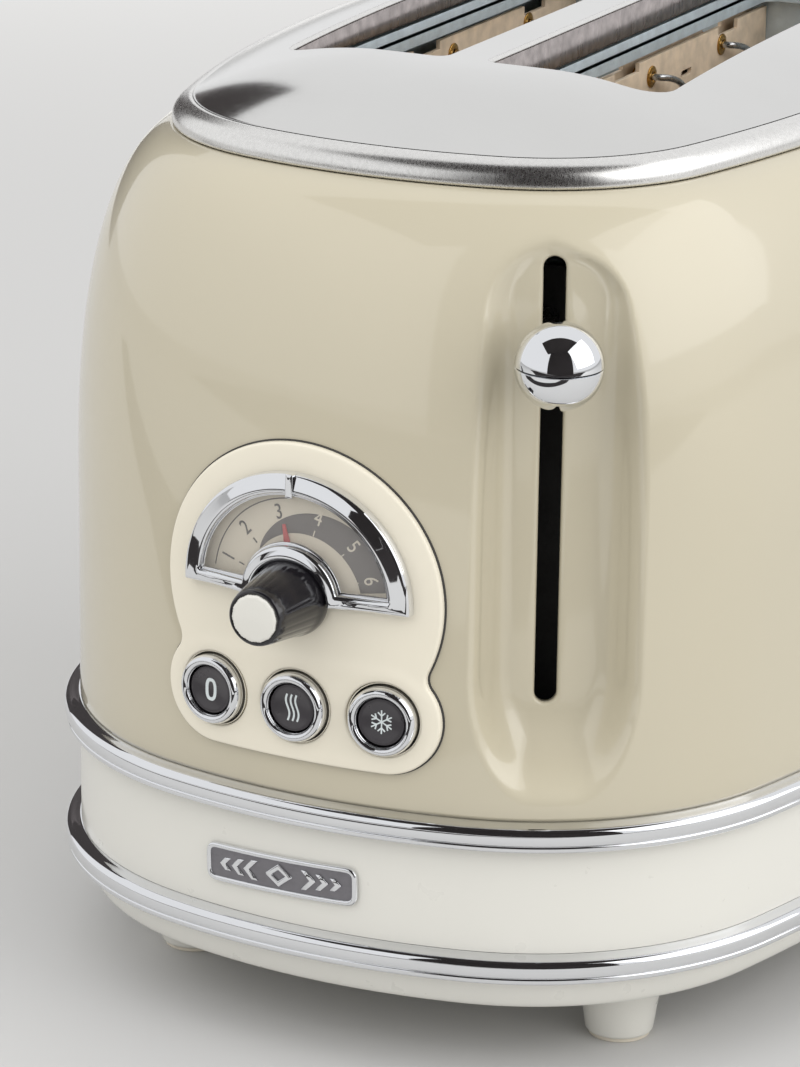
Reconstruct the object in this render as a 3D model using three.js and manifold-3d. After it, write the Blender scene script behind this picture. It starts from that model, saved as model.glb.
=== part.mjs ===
// A two-slot pop-up toaster with a bowed steel body, two bright trim bands, a curved control
// panel with a shade dial and three push buttons, and a lift lever that runs in a pressed recess.
// Millimetres, +Z up. The control end faces -Y and the worktop is Z = 0.
import * as THREE from 'three';
import { mergeVertices } from 'three/addons/utils/BufferGeometryUtils.js';
import Module from 'manifold-3d';

const wasm = await Module();
wasm.setup();

// ---------------------------------------------------------------- driving dimensions
const LENGTH = 310;              // over the trim bands
const WIDTH = 200;
const HEIGHT = 205;
const END_RADIUS = 148;          // bow of the two ends
const SIDE_RADIUS = 370;         // bow of the two long sides
const CORNER_RADIUS = 70;
const GAP = 0.3;                 // clearance between touching pieces

const WALL = -3.6;               // body wall, measured inwards from the trim bands
const SHEET = 1.5;               // body sheet
const MOULDING = 2.5;            // moulded base wall
const SHOULDER_START = 113.5;
const SHOULDER_DEPTH = 26.6;
const SHOULDER_HEIGHT = 77.2;
const SHOULDER_POWER = 2.3;
const SHELL_TOP = 189.5;

const SKIRT_BOTTOM = 16.9;
const LOWER_BAND_Z = 25.0;
const UPPER_BAND_Z = 54.6;
const BAND_HEIGHT = 5.8;
const BAND_DEPTH = 6.4;
const BASE_FLOOR = 19.7;

const RIM_OFFSET = -24.5;        // outermost line of the rolled rim of the cover
const DOME_OFFSET = -29;
const DOME_START = 195.6;
const DOME_RUN = 45;
const DOME_LAST = -66;
const COVER_SHEET = 1.2;

const SLOT_INNER = 5.3;          // half the bridge between the bread slots
const SLOT_OUTER = 44.9;
const SLOT_HALF_LENGTH = 80.2;
const SLOT_MIDDLE = (SLOT_INNER + SLOT_OUTER) / 2;
const LIP_BOTTOM = 197.2;

const PANEL_X = -2.3;            // the control panel sits a little left of the middle
const DIAL_Z = 105.6;
const BUTTON_Z = 80.9;
const BUTTON_PITCH = 19.9;
const BUTTON_RADIUS = 7.6;
const KNOB_REACH = 16.5;         // how far the dial knob stands out past the trim bands
const KNOB_FRONT = -LENGTH / 2 - KNOB_REACH;
const POINTER_ANGLE = 101.6;     // degrees, at shade three
const HEAD_RADIUS = 32.2;        // round head of the control panel, round the dial
const DIAL_OUTER = 26.4;
const WINDOW_OUTER = 22.2;
const WINDOW_INNER = 11.3;
const WINDOW_BOTTOM = 2.2;
const POINTER_BACK = 152.45;     // the pointer turns in a flat layer between scale and window
const POINTER_FRONT = 152.85;
const SHAFT_BACK = 139.6;
const BOARD_FRONT_Y = -128.9;    // front face of the control board
const BADGE_X = PANEL_X - 4.1;
const BADGE_Z = 41.8;

const LEVER_ANGLE = 29;          // direction the lift lever faces, degrees from -Y towards +X
const RECESS_FLOOR = 54.4;       // distance of the recess floor from the corner centre
const BALL_REACH = 70;
const BALL_RADIUS = 9.1;
const BALL_Z = 159.8;
const LEVER_SLOT_WIDTH = 4.6;
const LEVER_SLOT_BOTTOM = 82.5;
const LEVER_SLOT_TOP = 178.2;

const ROD = { x: 0, y: -101, radius: 2.5 };
const CARRIAGE_BOTTOM = 112;
const CARRIAGE_TOP = 168;
const SPRING = { x: 16, y: -100, radius: 3.2, bottom: 118.6, top: 190.8, turns: 7 };

const CHASSIS_Y = 86;
const CHASSIS_X = 60;
const BOARD_BOTTOM = 52;
const BOARD_TOP = 188;
const RACK_Z = 118;
const REFLECTOR_X = 57;
const BOARD_OUTER_X = 49.1;      // heater boards, outer and inner
const BOARD_INNER_X = 2.1;
const GUIDE_OUTER_X = 44.4;      // bread guides, outer and inner
const GUIDE_INNER_X = 6.2;
const FOOT_X = 52.7;
const FOOT_Y = 105.1;
const SCREW_X = 72;
const SCREW_Y = 62;
const GLAND_ANGLE = 35;          // direction the cord gland faces, degrees from +Y towards +X
const GLAND_Z = 43;
const TRAY_HALF_WIDTH = 46;
const TRAY_Z = 32.6;
const TRAY_HEIGHT = 9.4;

const degrees = (value) => value * Math.PI / 180;

// ---------------------------------------------------------------- finishes
const finish = (color, roughness, metalness) => ({ color, roughness, metalness });
const CREAM = finish(0xd9cfb0, 0.28, 0.1);
const IVORY = finish(0xefe9d6, 0.35, 0);
const CHROME = finish(0xdfe2e5, 0.06, 1);
const STAINLESS = finish(0xc9c8c4, 0.3, 1);
const GALVANISED = finish(0xa9adb0, 0.45, 0.9);
const STEEL = finish(0x8f9498, 0.4, 0.9);
const BLACK = finish(0x16161a, 0.25, 0);
const RUBBER = finish(0x3a3936, 0.85, 0);
const MICA = finish(0xc9b28f, 0.75, 0);
const BOARD_GREEN = finish(0x2e5a3c, 0.5, 0);
const COPPER = finish(0xa86238, 0.4, 0.8);
const RED = finish(0xb0202c, 0.4, 0);
const SCALE_PRINT = finish(0xcfc6b2, 0.5, 0);
const CLEAR = finish(0xf2f5f6, 0.05, 0);

// ---------------------------------------------------------------- solids
function toSolid(geometry) {
  const bare = geometry.clone();
  bare.deleteAttribute('normal');
  bare.deleteAttribute('uv');
  const merged = mergeVertices(bare, 1e-4);
  return new wasm.Manifold(new wasm.Mesh({
    numProp: 3,
    vertProperties: new Float32Array(merged.attributes.position.array),
    triVerts: new Uint32Array(merged.index.array),
  }));
}

function toGeometry(solid) {
  const mesh = solid.getMesh();
  const geometry = new THREE.BufferGeometry();
  geometry.setAttribute('position', new THREE.BufferAttribute(new Float32Array(mesh.vertProperties), 3));
  geometry.setIndex(new THREE.BufferAttribute(new Uint32Array(mesh.triVerts), 1));
  geometry.computeVertexNormals();
  return geometry;
}

const join = (solids) => solids.reduce((whole, solid) => whole.add(solid));
const cut = (solid, cutters) => cutters.reduce((rest, cutter) => rest.subtract(cutter), solid);

function part(name, shape, look) {
  const geometry = shape instanceof THREE.BufferGeometry ? shape : toGeometry(shape);
  const mesh = new THREE.Mesh(geometry, new THREE.MeshStandardMaterial(look));
  mesh.name = name;
  return mesh;
}

// A closed skin over a stack of rings that all have the same number of points.
function skin(rings, capped) {
  const size = rings[0].length;
  const positions = rings.flat().flatMap((point) => [point.x, point.y, point.z]);
  const index = [];
  const bands = capped ? rings.length - 1 : rings.length;
  for (let k = 0; k < bands; k += 1) {
    const low = k * size;
    const high = ((k + 1) % rings.length) * size;
    for (let i = 0; i < size; i += 1) {
      const j = (i + 1) % size;
      index.push(low + i, low + j, high + j, low + i, high + j, high + i);
    }
  }
  if (capped) {
    for (const last of [false, true]) {
      const edge = last ? rings.at(-1) : rings[0];
      const first = last ? (rings.length - 1) * size : 0;
      const middle = edge.reduce((sum, point) => sum.add(point), new THREE.Vector3()).divideScalar(size);
      const centre = positions.length / 3;
      positions.push(middle.x, middle.y, middle.z);
      for (let i = 0; i < size; i += 1) {
        const j = (i + 1) % size;
        index.push(centre, first + (last ? i : j), first + (last ? j : i));
      }
    }
  }
  const geometry = new THREE.BufferGeometry();
  geometry.setAttribute('position', new THREE.Float32BufferAttribute(positions, 3));
  geometry.setIndex(index);
  return geometry;
}

function box(x0, x1, y0, y1, z0, z1) {
  const geometry = new THREE.BoxGeometry(x1 - x0, y1 - y0, z1 - z0);
  geometry.translate((x0 + x1) / 2, (y0 + y1) / 2, (z0 + z1) / 2);
  return toSolid(geometry);
}

// An upright cylinder or cone from z0 to z1.
function post(x, y, z0, z1, bottomRadius, topRadius = bottomRadius, sides = 20) {
  const geometry = new THREE.CylinderGeometry(topRadius, bottomRadius, z1 - z0, sides);
  geometry.rotateX(Math.PI / 2);
  geometry.translate(x, y, (z0 + z1) / 2);
  return geometry;
}

// ---------------------------------------------------------------- body plan
const endCentre = new THREE.Vector2(0, END_RADIUS - LENGTH / 2);
const sideCentre = new THREE.Vector2(WIDTH / 2 - SIDE_RADIUS, 0);
const cornerCentre = findCornerCentre();
const cornerStart = Math.atan2(cornerCentre.y - endCentre.y, cornerCentre.x - endCentre.x);
const cornerEnd = Math.atan2(cornerCentre.y - sideCentre.y, cornerCentre.x - sideCentre.x);

// The centre of the corner arc that touches both the end arc and the side arc.
function findCornerCentre() {
  const fromEnd = END_RADIUS - CORNER_RADIUS;
  const fromSide = SIDE_RADIUS - CORNER_RADIUS;
  const apart = sideCentre.distanceTo(endCentre);
  const along = (fromEnd ** 2 - fromSide ** 2 + apart ** 2) / (2 * apart);
  const across = Math.sqrt(fromEnd ** 2 - along ** 2);
  const unit = sideCentre.clone().sub(endCentre).divideScalar(apart);
  return new THREE.Vector2(
    endCentre.x + unit.x * along - unit.y * across,
    endCentre.y + unit.y * along + unit.x * across,
  );
}

function arc(centre, radius, from, to, steps) {
  return new THREE.EllipseCurve(centre.x, centre.y, radius, radius, from, to).getPoints(steps).slice(0, -1);
}

// The body outline, moved outwards by an offset, counter-clockwise from the middle of the control end.
function outline(offset) {
  const quarter = [
    ...arc(endCentre, END_RADIUS + offset, -Math.PI / 2, cornerStart, 2),
    ...arc(cornerCentre, CORNER_RADIUS + offset, cornerStart, cornerEnd, 7),
    ...arc(sideCentre, SIDE_RADIUS + offset, cornerEnd, 0, 3),
  ];
  const mirrored = quarter.slice(1).reverse().map((point) => new THREE.Vector2(point.x, -point.y));
  const half = [...quarter, new THREE.Vector2(WIDTH / 2 + offset, 0), ...mirrored];
  return [...half, ...half.map((point) => new THREE.Vector2(-point.x, -point.y))];
}

const ring = (offset, z) => outline(offset).map((point) => new THREE.Vector3(point.x, point.y, z));
const filled = (levels) => toSolid(skin(levels.map(([offset, z]) => ring(offset, z)), true));
const hoop = (section) => toSolid(skin(section.map(([offset, z]) => ring(offset, z)), false));

function wallOffset(z) {
  const rise = Math.min(Math.max((z - SHOULDER_START) / SHOULDER_HEIGHT, 0), 1);
  return WALL - SHOULDER_DEPTH * (1 - (1 - rise ** SHOULDER_POWER) ** (1 / SHOULDER_POWER));
}

// The body's filled outer form, grown by a distance, from one height to another.
function bodyForm(grow, from, to) {
  const steps = 6;
  const levels = [];
  if (from < SHOULDER_START) {
    levels.push([WALL + grow, from]);
  }
  for (let i = 0; i <= steps; i += 1) {
    const angle = (i / steps) * Math.PI / 2;
    const z = SHOULDER_START + (SHELL_TOP - SHOULDER_START) * Math.sin(angle);
    if (z < to) {
      levels.push([wallOffset(z) + grow, z]);
    }
  }
  levels.push([wallOffset(Math.min(to, SHELL_TOP)) + grow, to]);
  return filled(levels);
}

// ---------------------------------------------------------------- pieces set into the wall
// A frame on an upright wall: local x runs right, local y runs up and local z points outwards.
function wallFrame(x, y, z, angle) {
  const out = new THREE.Vector3(Math.sin(degrees(angle)), -Math.cos(degrees(angle)), 0);
  const right = new THREE.Vector3(Math.cos(degrees(angle)), Math.sin(degrees(angle)), 0);
  const matrix = new THREE.Matrix4().makeBasis(right, new THREE.Vector3(0, 0, 1), out);
  return matrix.setPosition(x, y, z);
}

// A shape extruded along the frame's outward direction, from one depth to another.
function punch(shape, frame, from, to, curveSegments = 12) {
  const geometry = new THREE.ExtrudeGeometry(shape, { depth: to - from, bevelEnabled: false, curveSegments });
  geometry.translate(0, 0, from);
  geometry.applyMatrix4(frame);
  return toSolid(geometry);
}

// A turned piece whose axis is the frame's outward direction; profile points are [radius, distance out].
function turned(profile, frame, sides = 24) {
  const geometry = new THREE.LatheGeometry(profile.map(([r, h]) => new THREE.Vector2(r, h)), sides);
  geometry.rotateX(Math.PI / 2);
  geometry.applyMatrix4(frame);
  return toSolid(geometry);
}

const disc = (radius, x = 0, y = 0) => new THREE.Shape().absarc(x, y, radius, 0, 2 * Math.PI, false);

const panelFrame = wallFrame(PANEL_X, 0, DIAL_Z, 0);
const panelLayer = (from, to) => bodyForm(to, 62, 150).subtract(bodyForm(from, 61, 151));
const onPanel = (shape, from, to, segments) => punch(shape, panelFrame, 100, 175, segments)
  .intersect(panelLayer(from, to));

const wallRadius = END_RADIUS + WALL;

// The frame at the wall under a button: its axis is the local normal of the end bow.
function buttonFrame(index) {
  const x = PANEL_X + index * BUTTON_PITCH;
  const angle = Math.asin(x / wallRadius);
  return wallFrame(x, endCentre.y - wallRadius * Math.cos(angle), BUTTON_Z, THREE.MathUtils.radToDeg(angle));
}

const leverFrame = wallFrame(cornerCentre.x, cornerCentre.y, 0, LEVER_ANGLE);

// An upright opening with an arched top and a rounded bottom, on the lever frame.
function archRing(halfWidth, bottom, archCentre, bottomRadius, distance) {
  const shape = new THREE.Shape();
  shape.moveTo(halfWidth, archCentre);
  shape.absarc(0, archCentre, halfWidth, 0, Math.PI, false);
  shape.absarc(bottomRadius - halfWidth, bottom + bottomRadius, bottomRadius, Math.PI, 1.5 * Math.PI, false);
  shape.absarc(halfWidth - bottomRadius, bottom + bottomRadius, bottomRadius, -Math.PI / 2, 0, false);
  const points = shape.getPoints(6);
  if (points[0].distanceTo(points.at(-1)) < 1e-6) {
    points.pop();
  }
  return points.map((point) => new THREE.Vector3(point.x, point.y, distance).applyMatrix4(leverFrame));
}

function recessForm(grow) {
  const mouth = CORNER_RADIUS + WALL;
  return toSolid(skin([
    archRing(12 + grow, 77 - grow, 168.5, 7 + grow, RECESS_FLOOR - grow),
    archRing(16 + grow, 70 - grow, 168.5, 9 + grow, mouth),
    archRing(21 + grow, 61 - grow, 168.5, 12 + grow, mouth + 14),
  ], true));
}

function leverSlotShape(grow) {
  const half = LEVER_SLOT_WIDTH / 2 + grow;
  const shape = new THREE.Shape();
  shape.absarc(0, LEVER_SLOT_TOP - half, half, 0, Math.PI, false);
  shape.absarc(0, LEVER_SLOT_BOTTOM + half, half, Math.PI, 2 * Math.PI, false);
  return shape;
}

// ---------------------------------------------------------------- casing
function outerShell() {
  const bottom = UPPER_BAND_Z + BAND_HEIGHT + GAP;
  const outer = bodyForm(0, bottom, SHELL_TOP).subtract(recessForm(0));
  const inner = bodyForm(-SHEET, bottom - 5, SHELL_TOP + 5).subtract(recessForm(SHEET));
  const holes = [-1, 0, 1].map((i) => punch(disc(BUTTON_RADIUS + 0.6), buttonFrame(i), -8, 8, 9));
  return cut(outer.subtract(inner), [
    punch(leverSlotShape(0), leverFrame, RECESS_FLOOR - 6, RECESS_FLOOR + 4, 6),
    punch(disc(5.2), panelFrame, 140, 160, 6),
    ...holes,
  ]);
}

function domeHeight(offset) {
  return DOME_START + (HEIGHT - DOME_START) * (1 - (1 - (DOME_OFFSET - offset) / DOME_RUN) ** 2);
}

function slotShape(side, grow) {
  const inner = SLOT_INNER - grow;
  const outer = SLOT_OUTER + grow;
  const half = SLOT_HALF_LENGTH + grow;
  const tight = 2.5 + grow;
  const wide = 8 + grow;
  const shape = new THREE.Shape();
  shape.moveTo(inner + tight, -half);
  shape.absarc(outer - wide, wide - half, wide, -Math.PI / 2, 0, false);
  shape.absarc(outer - wide, half - wide, wide, 0, Math.PI / 2, false);
  shape.absarc(inner + tight, half - tight, tight, Math.PI / 2, Math.PI, false);
  shape.absarc(inner + tight, tight - half, tight, Math.PI, 1.5 * Math.PI, false);
  const geometry = new THREE.ExtrudeGeometry(shape, { depth: 60, bevelEnabled: false, curveSegments: 2 });
  if (side < 0) {
    geometry.rotateZ(Math.PI);
  }
  return geometry;
}

function slotForm(side, grow, from) {
  const geometry = slotShape(side, grow);
  geometry.translate(0, 0, from);
  return toSolid(geometry);
}

function topCover() {
  const domeOffsets = [DOME_OFFSET, -36, -45, -55, DOME_LAST];
  const crown = (drop) => ring(DOME_LAST, HEIGHT - drop)
    .map((point) => point.multiply(new THREE.Vector3(0.5, 0.8, 1)));
  const coverForm = (levels, drop) => toSolid(skin([
    ...levels.map(([offset, z]) => ring(offset, z)),
    crown(drop),
  ], true));
  const outer = coverForm([
    [-25.4, 190], [RIM_OFFSET, 191.2], [-25.3, 194],
    ...domeOffsets.map((offset) => [offset, domeHeight(offset)]),
  ], 0);
  const inner = coverForm([
    [-26.6, 185], [-26.6, 192.4],
    ...domeOffsets.slice(1).map((offset) => [offset, domeHeight(offset) - COVER_SHEET]),
  ], COVER_SHEET);
  const lips = join([1, -1].map((side) => slotForm(side, 1, LIP_BOTTOM)));
  const openings = [1, -1].map((side) => slotForm(side, 0, 180));
  return cut(outer.subtract(inner.subtract(lips)), openings);
}

function trimBand(bottom) {
  const top = bottom + BAND_HEIGHT;
  return hoop([
    [-BAND_DEPTH, bottom], [-0.9, bottom], [0, bottom + 0.8], [0, bottom + 3.8],
    [-2.1, top], [-BAND_DEPTH, top],
  ]);
}

function trayOpening(grow) {
  const half = TRAY_HALF_WIDTH + grow;
  return box(-half, half, 100, 180, TRAY_Z - grow, TRAY_Z + TRAY_HEIGHT + grow);
}

const glandCentre = new THREE.Vector2(cornerCentre.x, -cornerCentre.y);
const glandFrame = wallFrame(glandCentre.x, glandCentre.y, GLAND_Z, 180 - GLAND_ANGLE);

function baseBand() {
  const bottom = LOWER_BAND_Z + BAND_HEIGHT + GAP;
  const top = UPPER_BAND_Z - GAP;
  const wall = hoop([[WALL - MOULDING, bottom], [WALL, bottom], [WALL, top], [WALL - MOULDING, top]]);
  return cut(wall, [trayOpening(0.4), punch(disc(5.3), glandFrame, 50, 75, 16)]);
}

const cornersOf = (x, y) => [[-x, -y], [x, -y], [-x, y], [x, y]];

function basePan() {
  const top = LOWER_BAND_Z - GAP;
  const outer = filled([[-8.2, SKIRT_BOTTOM], [-6.4, SKIRT_BOTTOM + 0.9], [-4.2, top]]);
  const cavity = filled([[-10.5, BASE_FLOOR], [-4.2 - MOULDING, top + 3]]);
  const vents = [-3, -2, -1, 1, 2, 3].map((i) => box(-34, 34, i * 16 - 3, i * 16 + 3, 10, 25));
  const screwHoles = cornersOf(SCREW_X, SCREW_Y)
    .map(([x, y]) => toSolid(post(x, y, 10, 25, 2, 2, 8)));
  return cut(outer.subtract(cavity), [...vents, ...screwHoles]);
}

function foot() {
  const profile = [[0, 1.2], [7.5, 1.2], [8.6, 9], [10.3, SKIRT_BOTTOM - GAP], [0, SKIRT_BOTTOM - GAP]];
  return new THREE.LatheGeometry(profile.map(([r, h]) => new THREE.Vector2(r, h)), 16).rotateX(Math.PI / 2);
}

function baseScrew() {
  const profile = [[0, 14.9], [3.4, 14.9], [3.4, 16.6], [1.6, 16.6], [1.6, 26], [0, 26]];
  return new THREE.LatheGeometry(profile.map(([r, h]) => new THREE.Vector2(r, h)), 8).rotateX(Math.PI / 2);
}

function cordGland() {
  const profile = [[3.4, 60], [5, 60], [5, 67.1], [7, 67.1], [6.6, 68.6], [3.4, 68.6], [3.4, 60]];
  return turned(profile, glandFrame, 20);
}

// ---------------------------------------------------------------- control panel
// The outline of the panel: a round head over a wide foot, with filleted notches between them.
function panelShape() {
  const footRadius = 12;
  const footReach = HEAD_RADIUS - footRadius;
  const footDrop = DIAL_Z - BUTTON_Z;
  const fillet = 4;
  const apart = Math.hypot(footReach, footDrop);
  const toHead = HEAD_RADIUS + fillet;
  const toFoot = footRadius + fillet;
  const along = (toHead ** 2 - toFoot ** 2 + apart ** 2) / (2 * apart);
  const across = Math.sqrt(Math.max(toHead ** 2 - along ** 2, 0));
  const unit = new THREE.Vector2(footReach, -footDrop).divideScalar(apart);
  const centre = new THREE.Vector2(unit.x * along - unit.y * across, unit.y * along + unit.x * across);
  const headAngle = Math.atan2(centre.y, centre.x);
  const footAngle = Math.atan2(centre.y + footDrop, centre.x - footReach);
  const shape = new THREE.Shape();
  shape.absarc(0, 0, HEAD_RADIUS, headAngle, Math.PI - headAngle, false);
  shape.absarc(-centre.x, centre.y, fillet, -headAngle, -footAngle, true);
  shape.absarc(-footReach, -footDrop, footRadius, Math.PI - footAngle, 1.5 * Math.PI, false);
  shape.absarc(footReach, -footDrop, footRadius, -Math.PI / 2, footAngle, false);
  shape.absarc(centre.x, centre.y, fillet, Math.PI + footAngle, Math.PI + headAngle, true);
  return shape;
}

function halfDisc(radius, bottom) {
  const start = Math.asin(bottom / radius);
  return new THREE.Shape().absarc(0, 0, radius, start, Math.PI - start, false);
}

// A band between two radii, above a level line.
function arcBand(inner, outer, bottom) {
  const outerStart = Math.asin(bottom / outer);
  const innerStart = Math.asin(bottom / inner);
  const shape = new THREE.Shape();
  shape.absarc(0, 0, outer, outerStart, Math.PI - outerStart, false);
  shape.absarc(0, 0, inner, Math.PI - innerStart, innerStart, true);
  return shape;
}

function controlPanel() {
  const plate = onPanel(panelShape(), GAP, 1.6, 7);
  const holes = [-1, 0, 1].map((i) => punch(disc(BUTTON_RADIUS + 0.6), buttonFrame(i), -8, 8, 9));
  return cut(plate, [
    punch(halfDisc(24.2, -0.1), panelFrame, 100, 175, 9),
    punch(disc(5.6), panelFrame, 100, 175, 6),
    ...holes,
  ]);
}

function dialFrame() {
  const rim = onPanel(arcBand(WINDOW_OUTER, DIAL_OUTER, -0.2), 1.9, 4.8, 11);
  const inner = onPanel(arcBand(9, WINDOW_INNER, -0.2), 2.6, 4.8, 8);
  const bars = [1, -1].map((side) => {
    const shape = new THREE.Shape();
    shape.moveTo(side * 9.4, -0.2);
    shape.lineTo(side * (WINDOW_OUTER + 2), -0.2);
    shape.lineTo(side * (WINDOW_OUTER + 2), WINDOW_BOTTOM);
    shape.lineTo(side * 9.4, WINDOW_BOTTOM);
    return onPanel(shape, 2.6, 4.8);
  });
  const mark = new THREE.Shape();
  mark.moveTo(-0.8, 21);
  mark.lineTo(0.8, 21);
  mark.lineTo(0.8, DIAL_OUTER);
  mark.lineTo(-0.8, DIAL_OUTER);
  return join([rim, inner, ...bars, onPanel(mark, 4.5, 5.2)]);
}

function dialPointer() {
  const shape = disc(5.4);
  shape.holes.push(new THREE.Path().absarc(0, 0, 3.3, 0, 2 * Math.PI, true));
  const hub = punch(shape, panelFrame, POINTER_BACK, POINTER_FRONT, 6);
  const hand = new THREE.Shape();
  hand.moveTo(4.8, -1.1);
  hand.lineTo(14.8, -0.25);
  hand.lineTo(14.8, 0.25);
  hand.lineTo(4.8, 1.1);
  const turn = new THREE.Matrix4().makeRotationZ(degrees(POINTER_ANGLE));
  return hub.add(punch(hand, panelFrame.clone().multiply(turn), POINTER_BACK, POINTER_FRONT));
}

const knobFrame = wallFrame(PANEL_X, KNOB_FRONT, DIAL_Z, 0);

function dialKnob() {
  const length = -KNOB_FRONT - 154.3;
  return turned([
    [0, -1.2], [5.4, -1.2], [5.4, -0.4], [5.9, -0.3], [6.3, -1], [8.3, 1.5 - length],
    [8.3, -length], [GAP + 3, -length], [GAP + 3, 8 - length], [0, 8 - length],
  ].reverse(), knobFrame, 20);
}

function buttonRing(index) {
  const profile = [
    [5.5, -6], [7.6, -6], [7.6, 2.6], [7.2, 3.7], [6.3, 4.1], [5.5, 3.6], [5.5, -6],
  ];
  return turned(profile, buttonFrame(index), 18);
}

function buttonFace(index) {
  return turned([[0, -13], [2, -13], [2, -5.5], [5.2, -5.5], [5.2, 3], [0, 3]], buttonFrame(index), 16);
}

function controlBoard() {
  const board = box(-38, 26, BOARD_FRONT_Y, BOARD_FRONT_Y + 1.6, 66, 128);
  const switches = [-1, 0, 1].map((i) => {
    const x = PANEL_X + i * (BUTTON_PITCH - 1.6);
    return box(x - 3, x + 3, BOARD_FRONT_Y - 3.4, BOARD_FRONT_Y + 0.4, BUTTON_Z - 3, BUTTON_Z + 3);
  });
  return join([board, ...switches]);
}

function badgePlate() {
  const half = new THREE.Vector2(18.4, 4.3);
  const corner = 1.2;
  const shape = new THREE.Shape();
  shape.absarc(half.x - corner, corner - half.y, corner, -Math.PI / 2, 0, false);
  shape.absarc(half.x - corner, half.y - corner, corner, 0, Math.PI / 2, false);
  shape.absarc(corner - half.x, half.y - corner, corner, Math.PI / 2, Math.PI, false);
  shape.absarc(corner - half.x, corner - half.y, corner, Math.PI, 1.5 * Math.PI, false);
  const tilt = new THREE.Matrix4().makeRotationZ(degrees(1.4));
  const frame = wallFrame(BADGE_X, 0, BADGE_Z, 0).multiply(tilt);
  const face = filled([[WALL + 1.2, BADGE_Z - 9], [WALL + 1.2, BADGE_Z + 9]]);
  const behind = filled([[WALL + GAP, BADGE_Z - 10], [WALL + GAP, BADGE_Z + 10]]);
  return punch(shape, frame, 100, 175, 3).intersect(face.subtract(behind));
}

// ---------------------------------------------------------------- lift
function leverStemForm(grow) {
  const half = 1.7 + grow;
  const tall = 3.2 + grow;
  const shape = new THREE.Shape();
  shape.moveTo(-half, BALL_Z - tall);
  shape.lineTo(half, BALL_Z - tall);
  shape.lineTo(half, BALL_Z + tall);
  shape.lineTo(-half, BALL_Z + tall);
  return punch(shape, leverFrame, 17.2 - grow, BALL_REACH + 1 + grow);
}

function ballHalf(side) {
  const round = new THREE.EllipseCurve(0, 0, BALL_RADIUS, BALL_RADIUS, 0, Math.PI / 2).getPoints(5);
  const profile = round.map((point) => new THREE.Vector2(point.x, Math.max(point.y, GAP / 2)));
  profile[profile.length - 1].x = 0;
  const points = [new THREE.Vector2(0, GAP / 2), ...profile];
  const geometry = new THREE.LatheGeometry(points, 18);
  geometry.rotateX(side * Math.PI / 2);
  geometry.translate(0, BALL_Z, BALL_REACH);
  const upright = new THREE.Matrix4().makeTranslation(0, BALL_Z, BALL_REACH)
    .multiply(new THREE.Matrix4().makeRotationX(-Math.PI / 2))
    .multiply(new THREE.Matrix4().makeTranslation(0, -BALL_Z, -BALL_REACH));
  geometry.applyMatrix4(upright);
  geometry.applyMatrix4(leverFrame);
  return toSolid(geometry).subtract(leverStemForm(GAP));
}

function liftCarriage() {
  const plate = box(-31, 31, -96.1, -94.9, CARRIAGE_BOTTOM, CARRIAGE_TOP);
  const sleeve = toSolid(post(ROD.x, ROD.y, 122, 160, 6, 6, 16));
  const bridge = box(-5, 5, -97, -95.5, 124, 158);
  const armature = box(-27, -11, -112, -95.5, CARRIAGE_BOTTOM, CARRIAGE_BOTTOM + 1.6);
  const tab = box(13, 19, -104, -95.5, 116, 117.5);
  const bore = toSolid(post(ROD.x, ROD.y, 110, 170, ROD.radius + GAP, ROD.radius + GAP, 16));
  return join([plate, bridge, sleeve, armature, tab]).subtract(bore);
}

function breadRack(side) {
  const x = side * SLOT_MIDDLE;
  const spine = box(x - 1.5, x + 1.5, -94.6, 92, RACK_Z, RACK_Z + 5);
  const rungs = [-3, -2, -1, 0, 1, 2, 3]
    .map((i) => box(x - 9, x + 9, i * 23 - 0.9, i * 23 + 0.9, RACK_Z + 3.8, RACK_Z + 6));
  return join([spine, ...rungs]);
}

function liftSpring() {
  const { x, y, radius, bottom, top, turns } = SPRING;
  class Helix extends THREE.Curve {
    getPoint(t, target = new THREE.Vector3()) {
      const angle = 2 * Math.PI * turns * t;
      const z = bottom + (top - bottom) * t;
      return target.set(x + radius * Math.cos(angle), y + radius * Math.sin(angle), z);
    }
  }
  const wire = new THREE.Shape().absarc(0, 0, 0.6, 0, 2 * Math.PI, false);
  return new THREE.ExtrudeGeometry(wire, {
    steps: turns * 8,
    curveSegments: 2,
    bevelEnabled: false,
    extrudePath: new Helix(),
  });
}

function electromagnet() {
  const core = box(-26, -12, -112, -100, BASE_FLOOR + GAP, 40.4);
  const coil = toSolid(post(-19, -106, 24, 37, 9, 9, 16));
  return core.add(coil);
}

// ---------------------------------------------------------------- toasting chamber
function chassisPlate(side) {
  const y = side * (CHASSIS_Y - 0.6);
  const plate = box(-CHASSIS_X, CHASSIS_X, y - 0.6, y + 0.6, 46, 192.2);
  const legs = [1, -1].map((s) => box(s * 57 - 3, s * 57 + 3, y - 0.6, y + 0.6, BASE_FLOOR + GAP, 47));
  const tracks = [1, -1].map((s) => s * SLOT_MIDDLE)
    .map((x) => box(x - 2.4, x + 2.4, y - 5, y + 5, 47.2, 137));
  return cut(join([plate, ...legs]), tracks);
}

function chassisTopPlate() {
  const plate = box(-58, 58, -CHASSIS_Y, CHASSIS_Y, 192.5, 193.5);
  const below = box(-70, 70, -100, 100, 189, 195.4);
  const collars = [1, -1].map((side) => slotForm(side, 2.2, 190).intersect(below));
  const wells = [1, -1].map((side) => slotForm(side, 1.4, 180));
  return cut(join([plate, ...collars]), wells);
}

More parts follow.
